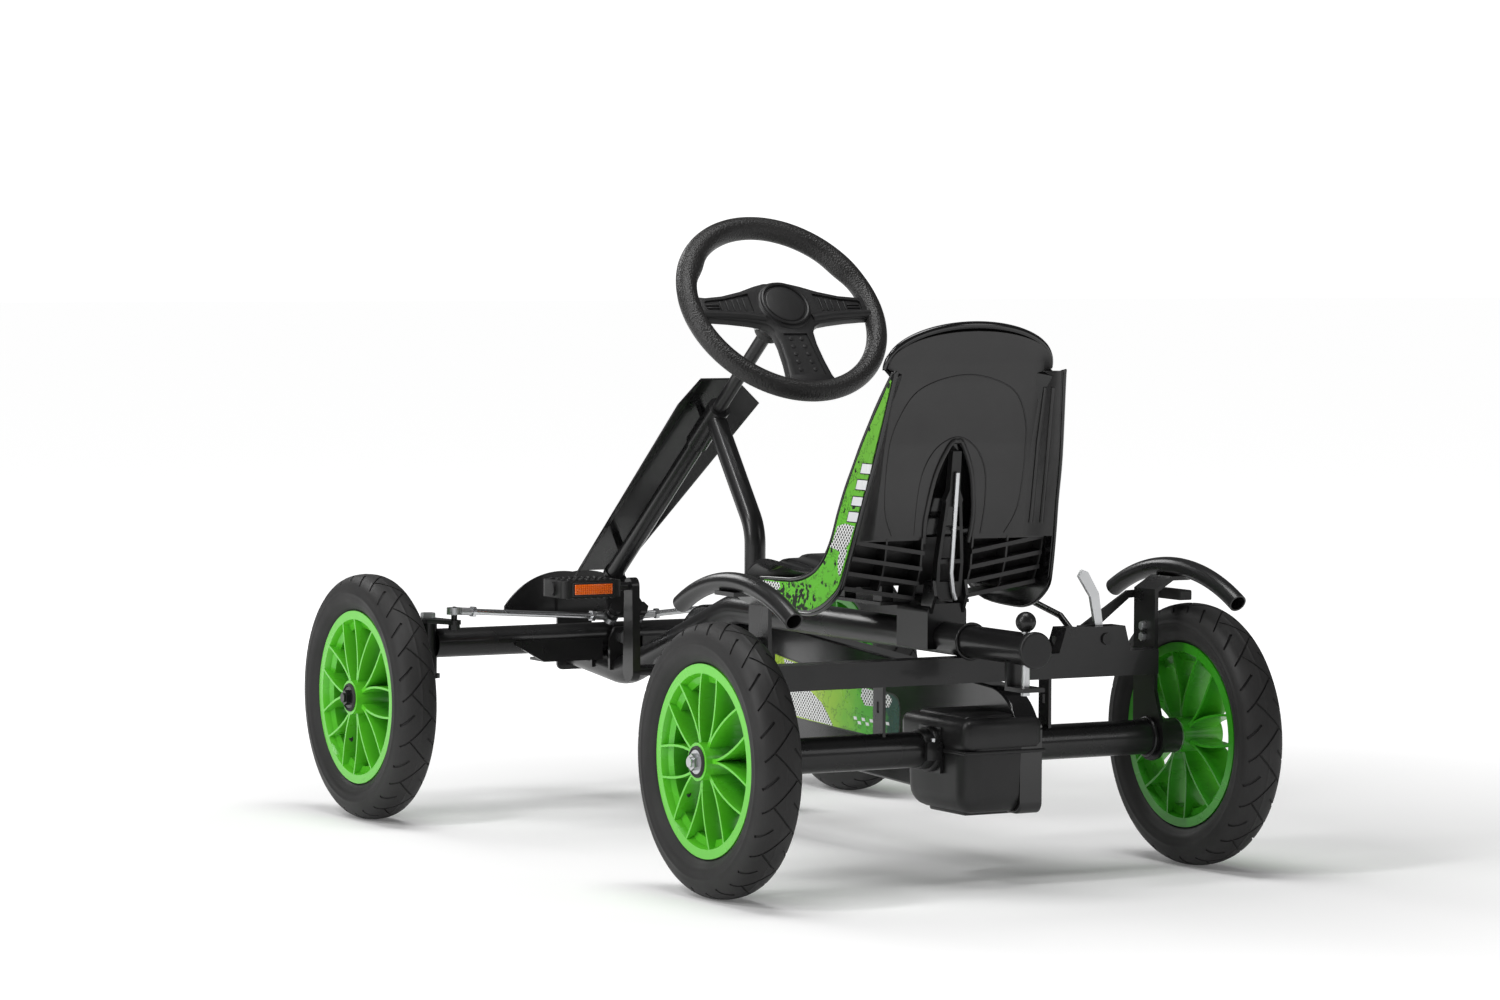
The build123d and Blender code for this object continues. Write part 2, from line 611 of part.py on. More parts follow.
with BuildPart() as kingpins:
    for side in (-1, 1):
        cyl_z(5, 172, 262, AXLE_X, side * KING_Y)
        bolt((AXLE_X, side * KING_Y, 258.2), (0, 0, 1), 17, 7)
        bolt((AXLE_X, side * KING_Y, 179.8), (0, 0, -1), 17, 8)
kingpins.part.label = "kingpins"
export_step(kingpins.part, "parts/kingpins.step")

with BuildPart() as knuckle_left:
    with BuildSketch(Plane.XY.offset(252.5)) as arm:
        with Locations((AXLE_X, KING_Y)):
            Circle(16)
        with Locations((BALL_X, BALL_Y)):
            Circle(9)
        make_hull()
    extrude(arm.sketch, amount=5.5)
    block(421, 453, KING_Y, 296, 252.5, 258)
    cyl_z(16, 180, 185.5, AXLE_X, KING_Y)
    block(421, 453, KING_Y, 296, 180, 185.5)
    block(421, 453, 290, 296, 146, 258)
    cyl_y(13, 296, 331.5, AXLE_X, AXLE_Z)
    cyl_y(10, 296, 389, AXLE_X, AXLE_Z)
    cyl_y(14, 388.4, 390, AXLE_X, AXLE_Z)
    cyl_y(6, 388, 399, AXLE_X, AXLE_Z)
    bolt((AXLE_X, 390, AXLE_Z), (0, 1, 0), 17, 6)
    cyl_z(5.2, 175, 262, AXLE_X, KING_Y, Mode.SUBTRACT)
    cyl_z(4, 246, BALL_Z, BALL_X, BALL_Y)
    bolt((BALL_X, BALL_Y, 252.5), (0, 0, -1), 13, 7)
    with Locations((BALL_X, BALL_Y, BALL_Z)):
        Sphere(6)
knuckle_left.part.label = "knuckle_left"
export_step(knuckle_left.part, "parts/knuckle_left.step")

with BuildPart() as knuckle_right:
    mirror(knuckle_left.part, about=Plane.XZ)
knuckle_right.part.label = "knuckle_right"
export_step(knuckle_right.part, "parts/knuckle_right.step")

OUTER_BALL = Vector(BALL_X, BALL_Y, BALL_Z)
INNER_BALL = Vector(INNER_X, INNER_Y, INNER_Z)
ROD_WAY = (INNER_BALL - OUTER_BALL).normalized()
ROD_LENGTH = (INNER_BALL - OUTER_BALL).length

with BuildPart() as tie_rod_left:
    disc(Plane(origin=OUTER_BALL + ROD_WAY * 25, z_dir=ROD_WAY), 4, ROD_LENGTH - 50)
    for start in (26, ROD_LENGTH - 31):
        with BuildSketch(Plane(origin=OUTER_BALL + ROD_WAY * start, z_dir=ROD_WAY)) as lock_nut:
            RegularPolygon(6.5, 6, major_radius=False)
        extrude(lock_nut.sketch, amount=5)
tie_rod_left.part.label = "tie_rod_left"
export_step(tie_rod_left.part, "parts/tie_rod_left.step")

with BuildPart() as rod_ends_left:
    disc(Plane(origin=OUTER_BALL - Vector(0, 0, 4.5)), 10, 9)
    disc(Plane(origin=OUTER_BALL + ROD_WAY * 8, z_dir=ROD_WAY), 5, 16.9)
    disc(Plane(origin=OUTER_BALL - Vector(0, 0, 6)), 6.3, 12, Mode.SUBTRACT)
    disc(Plane(origin=INNER_BALL - Vector(COLUMN_UP) * 4.5, z_dir=COLUMN_UP), 10, 9)
    disc(Plane(origin=INNER_BALL - ROD_WAY * 8, z_dir=-ROD_WAY), 5, 16.9)
rod_ends_left.part.label = "rod_ends_left"
export_step(rod_ends_left.part, "parts/rod_ends_left.step")

with BuildPart() as tie_rod_right:
    mirror(tie_rod_left.part, about=Plane.XZ)
tie_rod_right.part.label = "tie_rod_right"
export_step(tie_rod_right.part, "parts/tie_rod_right.step")

with BuildPart() as rod_ends_right:
    mirror(rod_ends_left.part, about=Plane.XZ)
rod_ends_right.part.label = "rod_ends_right"
export_step(rod_ends_right.part, "parts/rod_ends_right.step")

# ---------------------------------------------------------------- steering
with BuildPart() as steering_shaft:
    disc(column_plane(371), SHAFT_R, 371 + WHEEL_RISE - 18)
    clamp_plane = Plane(origin=column_point(-171, 0, -24), x_dir=COLUMN_UP, z_dir=(0, 1, 0))
    disc(clamp_plane, 3, 48)
    bolt(column_point(-171, 0, 19.2), (0, 1, 0), 10, 5)
    bolt(column_point(-171, 0, -19.2), (0, -1, 0), 10, 5)
steering_shaft.part.label = "steering_shaft"
export_step(steering_shaft.part, "parts/steering_shaft.step")

with BuildPart() as pitman_arm:
    with BuildSketch(column_plane(371)) as plate:
        Circle(13)
        with Locations((-INNER_Y, -60), (INNER_Y, -60)):
            Circle(9)
        make_hull()
    extrude(plate.sketch, amount=5)
    disc(column_plane(371), 14, 8)
    disc(column_plane(371), SHAFT_R + 0.02, 9, Mode.SUBTRACT)
    for side in (-INNER_Y, INNER_Y):
        with BuildSketch(column_plane(366)) as head:
            with Locations((side, -60)):
                RegularPolygon(7.5, 6, major_radius=False)
        extrude(head.sketch, amount=7)
pitman_arm.part.label = "pitman_arm"
export_step(pitman_arm.part, "parts/pitman_arm.step")

RIM_MINOR = 13.5
RIM_MAJOR = 143 - RIM_MINOR

with BuildPart() as steering_wheel_rim:
    with Locations(column_plane(-WHEEL_RISE)):
        Torus(RIM_MAJOR, RIM_MINOR)
steering_wheel_rim.part.label = "steering_wheel_rim"
export_step(steering_wheel_rim.part, "parts/steering_wheel_rim.step")

with BuildPart() as steering_wheel_hub:
    disc(column_plane(-WHEEL_RISE + 16), 38, 24)
    fillet(steering_wheel_hub.edges().filter_by(GeomType.CIRCLE), 4)
    disc(column_plane(-WHEEL_RISE + 46), 19, 31)
    for points in ([(25, -18), (122, -14), (122, 16), (25, 20)],
                   [(-25, -18), (-122, -14), (-122, 16), (-25, 20)],
                   [(-20, -25), (-26, -122), (26, -122), (20, -25)]):
        slab(column_plane(-WHEEL_RISE + 7), points, 12)
    disc(column_plane(-100), SHAFT_R + 0.02, WHEEL_RISE - 100 - 17.9, Mode.SUBTRACT)
    disc(Plane(origin=column_point(-171, 0, -24), z_dir=(0, 1, 0)), 3.05, 48, Mode.SUBTRACT)
    with Locations(column_plane(-WHEEL_RISE)):
        Torus(RIM_MAJOR, RIM_MINOR + 0.02, mode=Mode.SUBTRACT)
    hub_solid = steering_wheel_hub.solids().sort_by(SortBy.VOLUME)[-1]
    add(hub_solid, mode=Mode.REPLACE)
steering_wheel_hub.part.label = "steering_wheel_hub"
export_step(steering_wheel_hub.part, "parts/steering_wheel_hub.step")

# ---------------------------------------------------------------- wheels
RIM_BED = [(-17, 112), (-14.5, 102), (-9, 101.5), (-6, 93), (6, 93), (9, 101.5), (14.5, 102), (17, 112)]
RIM_INSIDE = [(20, 112), (20, 101), (12, 98), (9, 90), (-9, 90), (-12, 98), (-20, 101), (-20, 112)]
TYRE_OUT = [(14, 102.4), (16.8, 112.4), (21, 114.5), (27, 124), (28.5, 134), (26.5, 146), (20, 154)]
TYRE_OUT += [(10, 158.2), (0, 159)]
TYRE_IN = [(0, 152), (9, 151), (17, 147), (22, 140), (23, 133), (21, 124), (15, 116), (12, 112)]
TYRE_IN += [(10.5, 102.4)]


def turned(points, mode=Mode.ADD):
    """A ring turned about the wheel's own axis."""
    with BuildSketch(Plane.YZ) as section:
        with BuildLine():
            Polyline(*points, close=True)
        make_face()
    revolve(section.sketch, axis=Axis.Y, mode=mode)


def blade(turn, side):
    """One curved blade of a petal, from the hub out to the rim bed."""
    near = []
    far = []
    for r in (19, 34, 48, 60, 72, 84, 94, 101):
        swing = side * (28.4 * max(0.0, (r - 26.0) / 75.0) ** 1.6 + 1.0)
        near.append((r, swing - 1.5))
        far.append((r, swing + 1.5))
    with BuildSketch(Plane(origin=(0, 20, 0), x_dir=(1, 0, 0), z_dir=(0, -1, 0))) as strip:
        with BuildLine():
            Polyline(*near, *reversed(far), close=True)
        make_face()
    extrude(strip.sketch.rotate(Axis.Y, -turn), amount=40)


with BuildPart() as rim:
    turned(RIM_BED + RIM_INSIDE)
    cyl_y(HUB_R, -28, 28, 0, 0)
    for petal in range(PETALS):
        for side in (-1, 1):
            blade(petal * 360 / PETALS, side)
    turned(RIM_BED + [(17, 130), (-17, 130)], Mode.SUBTRACT)
    valve_way = Vector(-26 * math.cos(VALVE_TURN), 10, -26 * math.sin(VALVE_TURN))
    valve_root = Vector(91 * math.cos(VALVE_TURN), 2, 91 * math.sin(VALVE_TURN))
    disc(Plane(origin=valve_root, z_dir=valve_way), 3.5, 30)
    cyl_y(10.2, -30, 30, 0, 0, Mode.SUBTRACT)

with BuildPart() as tyre:
    turned(TYRE_OUT + [(-y, r) for y, r in reversed(TYRE_OUT[:-1])]
           + [(-y, r) for y, r in reversed(TYRE_IN)] + TYRE_IN[1:])


def placed(shape, x, y, phase):
    """A left wheel piece turned to its phase and moved to its place."""
    return Pos(x, y, AXLE_Z) * Rot(0, -phase, 0) * shape


with BuildPart() as rim_rear_left:
    add(placed(rim.part, -AXLE_X, REAR_Y, 174.5))
rim_rear_left.part.label = "rim_rear_left"
export_step(rim_rear_left.part, "parts/rim_rear_left.step")

with BuildPart() as rim_front_left:
    add(placed(rim.part, AXLE_X, FRONT_Y, 154.7))
rim_front_left.part.label = "rim_front_left"
export_step(rim_front_left.part, "parts/rim_front_left.step")

with BuildPart() as rim_rear_right:
    mirror(placed(rim.part, -AXLE_X, REAR_Y, 146.0), about=Plane.XZ)
rim_rear_right.part.label = "rim_rear_right"
export_step(rim_rear_right.part, "parts/rim_rear_right.step")

with BuildPart() as rim_front_right:
    mirror(placed(rim.part, AXLE_X, FRONT_Y, 160.0), about=Plane.XZ)
rim_front_right.part.label = "rim_front_right"
export_step(rim_front_right.part, "parts/rim_front_right.step")

with BuildPart() as tyre_rear_left:
    add(placed(tyre.part, -AXLE_X, REAR_Y, 0))
tyre_rear_left.part.label = "tyre_rear_left"
export_step(tyre_rear_left.part, "parts/tyre_rear_left.step")

with BuildPart() as tyre_front_left:
    add(placed(tyre.part, AXLE_X, FRONT_Y, 0))
tyre_front_left.part.label = "tyre_front_left"
export_step(tyre_front_left.part, "parts/tyre_front_left.step")

with BuildPart() as tyre_rear_right:
    add(placed(tyre.part, -AXLE_X, -REAR_Y, 0))
tyre_rear_right.part.label = "tyre_rear_right"
export_step(tyre_rear_right.part, "parts/tyre_rear_right.step")

with BuildPart() as tyre_front_right:
    add(placed(tyre.part, AXLE_X, -FRONT_Y, 0))
tyre_front_right.part.label = "tyre_front_right"
export_step(tyre_front_right.part, "parts/tyre_front_right.step")

with BuildPart() as rear_axle_shaft:
    cyl_y(10, -REAR_Y - 28.5, REAR_Y + 28.5, -AXLE_X, AXLE_Z)
    cyl_y(6, -REAR_Y - 39, REAR_Y + 39, -AXLE_X, AXLE_Z)
    for side in (-1, 1):
        cyl_y(14, side * (REAR_Y + 28.1), side * (REAR_Y + 30), -AXLE_X, AXLE_Z)
        cyl_y(13, side * 300.4, side * (REAR_Y - 28.1), -AXLE_X, AXLE_Z)
        bolt((-AXLE_X, side * (REAR_Y + 30), AXLE_Z), (0, side, 0), 17, 6)
rear_axle_shaft.part.label = "rear_axle_shaft"
export_step(rear_axle_shaft.part, "parts/rear_axle_shaft.step")


def toothed_wheel(radius, teeth, bore, x, z):
    """A chain wheel: a disc with teeth, bored for its shaft."""
    face = Plane(origin=(x, CHAIN_Y + 1.5, z), x_dir=(1, 0, 0), z_dir=(0, -1, 0))
    with BuildSketch(face) as wheel:
        Circle(radius - 4)
        with PolarLocations(radius - 3, teeth):
            Trapezoid(6.6, 5.4, 68, rotation=-90)
        Circle(bore, mode=Mode.SUBTRACT)
    extrude(wheel.sketch, amount=3)


with BuildPart() as rear_sprocket:
    toothed_wheel(SPROCKET_R, 14, 10.05, -AXLE_X, AXLE_Z)
rear_sprocket.part.label = "rear_sprocket"
export_step(rear_sprocket.part, "parts/rear_sprocket.step")

with BuildPart() as chainring:
    toothed_wheel(RING_R, 36, 7.55, CRANK_X, CRANK_Z)
    ring_face = Plane(origin=(CRANK_X, CHAIN_Y + 2, CRANK_Z), x_dir=(1, 0, 0), z_dir=(0, -1, 0))
    with BuildSketch(ring_face) as windows:
        with PolarLocations(42, 5):
            Circle(14)
    extrude(windows.sketch, amount=4, mode=Mode.SUBTRACT)
chainring.part.label = "chainring"
export_step(chainring.part, "parts/chainring.step")

with BuildPart() as crank:
    cyl_y(7.5, -79, 79, CRANK_X, CRANK_Z)
    for side in (-1, 1):
        near = min(side * 68, side * 79)
        with BuildSketch(side_plane(near + 11)) as arm_side:
            with Locations((CRANK_X, CRANK_Z)):
                Circle(14)
            with Locations((CRANK_X, CRANK_Z + side * CRANK_R)):
                Circle(11)
            make_hull()
        extrude(arm_side.sketch, amount=11)
        cyl_y(5.5, side * 68, side * 190, CRANK_X, CRANK_Z + side * CRANK_R)
crank.part.label = "crank"
export_step(crank.part, "parts/crank.step")

PEDAL_Z = CRANK_Z + CRANK_R

with BuildPart() as pedal_left:
    block(CRANK_X - 30, CRANK_X + 30, 103, 189, PEDAL_Z - 11, PEDAL_Z + 11)
    fillet(pedal_left.edges().filter_by(Axis.Z), 8)
    block(CRANK_X - 24, CRANK_X - 13, 112, 180, PEDAL_Z - 15, PEDAL_Z + 15, Mode.SUBTRACT)
    block(CRANK_X + 13, CRANK_X + 24, 112, 180, PEDAL_Z - 15, PEDAL_Z + 15, Mode.SUBTRACT)
    cyl_y(5.7, 100, 187, CRANK_X, PEDAL_Z, Mode.SUBTRACT)
    cyl_y(9, 185, 192, CRANK_X, PEDAL_Z)
    cyl_y(5.7, 100, 190.4, CRANK_X, PEDAL_Z, Mode.SUBTRACT)
pedal_left.part.label = "pedal_left"
export_step(pedal_left.part, "parts/pedal_left.step")

with BuildPart() as pedal_right:
    add(pedal_left.part.rotate(Axis((CRANK_X, 0, CRANK_Z), (1, 0, 0)), 180))
pedal_right.part.label = "pedal_right"
export_step(pedal_right.part, "parts/pedal_right.step")

# ---------------------------------------------------------------- fasteners of the frame
with BuildPart() as frame_bolts:
    for side in (-1, 1):
        for z in (279, 292):
            bolt((-424, side * 270.6, z), (0, side, 0), 10, 5, 3.5, 11)
            bolt((-424, side * 265.4, z), (0, -side, 0), 10, 5)
        bolt((559.1, side * 17, 272), (1, 0, 0), 11, 5)
    for x in (-462, -412):
        bolt((x, 56, 170), (0, 0, 1), 5.8, 4)
frame_bolts.part.label = "frame_bolts"
export_step(frame_bolts.part, "parts/frame_bolts.step")
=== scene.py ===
import json
import math

import bmesh
import bpy
from mathutils import Matrix, Vector


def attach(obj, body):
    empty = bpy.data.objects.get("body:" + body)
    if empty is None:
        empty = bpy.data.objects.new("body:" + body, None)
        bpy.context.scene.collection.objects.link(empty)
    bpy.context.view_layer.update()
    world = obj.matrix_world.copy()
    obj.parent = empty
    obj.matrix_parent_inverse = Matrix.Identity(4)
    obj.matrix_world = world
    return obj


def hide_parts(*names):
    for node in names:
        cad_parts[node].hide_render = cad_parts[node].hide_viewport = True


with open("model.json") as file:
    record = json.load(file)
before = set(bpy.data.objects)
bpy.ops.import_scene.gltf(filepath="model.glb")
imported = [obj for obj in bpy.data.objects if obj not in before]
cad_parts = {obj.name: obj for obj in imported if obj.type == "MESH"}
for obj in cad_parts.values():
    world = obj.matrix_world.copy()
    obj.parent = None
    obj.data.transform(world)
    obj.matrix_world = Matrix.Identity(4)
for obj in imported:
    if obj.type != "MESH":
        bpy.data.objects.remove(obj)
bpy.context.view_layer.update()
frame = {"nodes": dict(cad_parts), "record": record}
nodes = frame["nodes"]

# ---------------------------------------------------------------- camera, light and floor
VIEW_RIGHT = Vector((-0.49366, -0.86964, 0.00500))
VIEW_UP = Vector((0.05085, -0.02313, 0.99844))
VIEW_AWAY = Vector((0.86817, -0.49314, -0.05564))
EYE = Vector((-5.317, 3.062, 0.770))
LENS_MM = 117.67
SENSOR_MM = 36.0
VIEW_REACH = 60.0


def set_camera():
    """The studio camera, on a long lens, a little above the kart."""
    lens = bpy.data.cameras.new("studio_camera")
    lens.lens = LENS_MM
    lens.sensor_width = SENSOR_MM
    lens.clip_end = VIEW_REACH
    camera = bpy.data.objects.new("studio_camera", lens)
    turn = Matrix((VIEW_RIGHT, VIEW_UP, -VIEW_AWAY)).transposed().to_4x4()
    camera.matrix_world = Matrix.Translation(EYE) @ turn
    bpy.context.scene.collection.objects.link(camera)
    bpy.context.scene.camera = camera


def soft_box(name, at, aim, width, height, power):
    """A rectangular studio light turned towards a point."""
    lamp = bpy.data.lights.new(name, "AREA")
    lamp.shape = "RECTANGLE"
    lamp.size = width
    lamp.size_y = height
    lamp.energy = power
    holder = bpy.data.objects.new(name, lamp)
    towards = (Vector(aim) - Vector(at)).to_track_quat("-Z", "Y").to_matrix().to_4x4()
    holder.matrix_world = Matrix.Translation(at) @ towards
    bpy.context.scene.collection.objects.link(holder)


def paint_floor(floor):
    """White floor paint that glows more the farther it lies from the kart, so it has no edge; the weaker glow
    near the kart paints a darker shadow under and around it.
    """
    white = bpy.data.materials.new("floor_white")
    white.use_nodes = True
    tree = white.node_tree
    shader = tree.nodes["Principled BSDF"]
    shader.inputs["Base Color"].default_value = (0.9, 0.9, 0.9, 1.0)
    shader.inputs["Roughness"].default_value = 0.9
    shader.inputs["Specular IOR Level"].default_value = 0.1
    shader.inputs["Emission Color"].default_value = (1.0, 1.0, 1.0, 1.0)
    place = tree.nodes.new("ShaderNodeTexCoord")
    reach = tree.nodes.new("ShaderNodeVectorMath")
    reach.operation = "LENGTH"
    # Painted shadow: little glow near the kart darkens the floor there, and full glow far off keeps the floor
    # white.
    glow_and_painted_shadow = tree.nodes.new("ShaderNodeMapRange")
    glow_and_painted_shadow.inputs["From Min"].default_value = 0.75
    glow_and_painted_shadow.inputs["From Max"].default_value = 2.3
    glow_and_painted_shadow.inputs["To Min"].default_value = 0.10
    glow_and_painted_shadow.inputs["To Max"].default_value = 0.9
    tree.links.new(place.outputs["Object"], reach.inputs[0])
    tree.links.new(reach.outputs["Value"], glow_and_painted_shadow.inputs["Value"])
    tree.links.new(glow_and_painted_shadow.outputs["Result"], shader.inputs["Emission Strength"])
    floor.data.materials.append(white)


def set_studio():
    """A white studio: dim all-round light, soft boxes, and a white floor."""
    world = bpy.data.worlds.new("studio")
    world.use_nodes = True
    tree = world.node_tree
    surround = tree.nodes["Background"]
    surround.inputs["Color"].default_value = (1.0, 1.0, 1.0, 1.0)
    path = tree.nodes.new("ShaderNodeLightPath")
    strength = tree.nodes.new("ShaderNodeMapRange")
    strength.inputs["To Min"].default_value = 0.10
    strength.inputs["To Max"].default_value = 1.15
    tree.links.new(path.outputs["Is Camera Ray"], strength.inputs["Value"])
    tree.links.new(strength.outputs["Result"], surround.inputs["Strength"])
    bpy.context.scene.world = world
    bpy.context.scene.view_settings.view_transform = "Standard"
    soft_box("top_light", (-0.2, 0.2, 3.2), (0.0, 0.0, 0.2), 2.0, 1.2, 52)
    soft_box("left_light", (-0.3, 3.8, 1.6), (0.0, 0.0, 0.35), 1.2, 1.2, 46)
    soft_box("edge_light", (-0.6, 2.2, 2.6), (0.1, 0.0, 0.5), 0.35, 0.9, 26)
    soft_box("rear_light", (-4.0, -2.4, 1.9), (-0.2, 0.0, 0.3), 0.8, 1.6, 12)
    soft_box("front_light", (3.2, 0.8, 2.4), (0.2, 0.0, 0.4), 1.6, 1.2, 34)
    bpy.ops.mesh.primitive_plane_add(size=80, location=(0, 0, 0))
    floor = bpy.context.active_object
    floor.name = "studio_floor"
    paint_floor(floor)


set_camera()
set_studio()


# ---------------------------------------------------------------- shader effects used by many finishes
def effect(name, takes, gives):
    """An empty node group with named inputs and outputs."""
    group = bpy.data.node_groups.new(name, "ShaderNodeTree")
    for label, kind, value in takes:
        socket = group.interface.new_socket(name=label, in_out="INPUT", socket_type=kind)
        if value is not None:
            socket.default_value = value
    for label, kind in gives:
        group.interface.new_socket(name=label, in_out="OUTPUT", socket_type=kind)
    return group, group.nodes.new("NodeGroupInput"), group.nodes.new("NodeGroupOutput")


def make_grain():
    """Fine moulded or sprayed relief, as a height."""
    takes = [("Place", "NodeSocketVector", None), ("Size", "NodeSocketFloat", 500.0),
             ("Softness", "NodeSocketFloat", 0.5)]
    group, taken, given = effect("surface_grain", takes, [("Height", "NodeSocketFloat")])
    noise = group.nodes.new("ShaderNodeTexNoise")
    noise.inputs["Detail"].default_value = 3.0
    group.links.new(taken.outputs["Place"], noise.inputs["Vector"])
    group.links.new(taken.outputs["Size"], noise.inputs["Scale"])
    group.links.new(taken.outputs["Softness"], noise.inputs["Roughness"])
    group.links.new(noise.outputs["Fac"], given.inputs["Height"])
    return group


def make_leather():
    """Pebbled leather-like relief made of small rounded cells."""
    takes = [("Place", "NodeSocketVector", None), ("Size", "NodeSocketFloat", 260.0)]
    group, taken, given = effect("leather_pebbles", takes, [("Height", "NodeSocketFloat")])
    cells = group.nodes.new("ShaderNodeTexVoronoi")
    cells.feature = "SMOOTH_F1"
    cells.inputs["Smoothness"].default_value = 0.35
    group.links.new(taken.outputs["Place"], cells.inputs["Vector"])
    group.links.new(taken.outputs["Size"], cells.inputs["Scale"])
    flip = group.nodes.new("ShaderNodeMath")
    flip.operation = "SUBTRACT"
    flip.inputs[0].default_value = 1.0
    group.links.new(cells.outputs["Distance"], flip.inputs[1])
    group.links.new(flip.outputs["Value"], given.inputs["Height"])
    return group


def make_handling():
    """Uneven shine from handling: a roughness that drifts over the surface."""
    takes = [("Place", "NodeSocketVector", None), ("Size", "NodeSocketFloat", 9.0),
             ("Low", "NodeSocketFloat", 0.25), ("High", "NodeSocketFloat", 0.35)]
    group, taken, given = effect("handling_shine", takes, [("Roughness", "NodeSocketFloat")])
    noise = group.nodes.new("ShaderNodeTexNoise")
    noise.inputs["Detail"].default_value = 5.0
    spread = group.nodes.new("ShaderNodeMapRange")
    spread.inputs["From Min"].default_value = 0.3
    spread.inputs["From Max"].default_value = 0.7
    group.links.new(taken.outputs["Place"], noise.inputs["Vector"])
    group.links.new(taken.outputs["Size"], noise.inputs["Scale"])
    group.links.new(noise.outputs["Fac"], spread.inputs["Value"])
    group.links.new(taken.outputs["Low"], spread.inputs["To Min"])
    group.links.new(taken.outputs["High"], spread.inputs["To Max"])
    group.links.new(spread.outputs["Result"], given.inputs["Roughness"])
    return group


def make_dust():
    """A thin veil of dust in drifting patches, as a colour."""
    takes = [("Place", "NodeSocketVector", None), ("Colour", "NodeSocketColor", (0.01, 0.01, 0.01, 1.0)),
             ("Dust", "NodeSocketColor", (0.2, 0.19, 0.18, 1.0)), ("Amount", "NodeSocketFloat", 0.05)]
    group, taken, given = effect("thin_dust", takes, [("Colour", "NodeSocketColor")])
    noise = group.nodes.new("ShaderNodeTexNoise")
    noise.inputs["Scale"].default_value = 24.0
    noise.inputs["Detail"].default_value = 6.0
    amount = group.nodes.new("ShaderNodeMath")
    amount.operation = "MULTIPLY"
    cover = group.nodes.new("ShaderNodeMix")
    cover.data_type = "RGBA"
    group.links.new(taken.outputs["Place"], noise.inputs["Vector"])
    group.links.new(noise.outputs["Fac"], amount.inputs[0])
    group.links.new(taken.outputs["Amount"], amount.inputs[1])
    group.links.new(amount.outputs["Value"], cover.inputs["Factor"])
    group.links.new(taken.outputs["Colour"], cover.inputs["A"])
    group.links.new(taken.outputs["Dust"], cover.inputs["B"])
    group.links.new(cover.outputs["Result"], given.inputs["Colour"])
    return group


GRAIN = make_grain()
LEATHER = make_leather()
SHINE = make_handling()
DUST = make_dust()


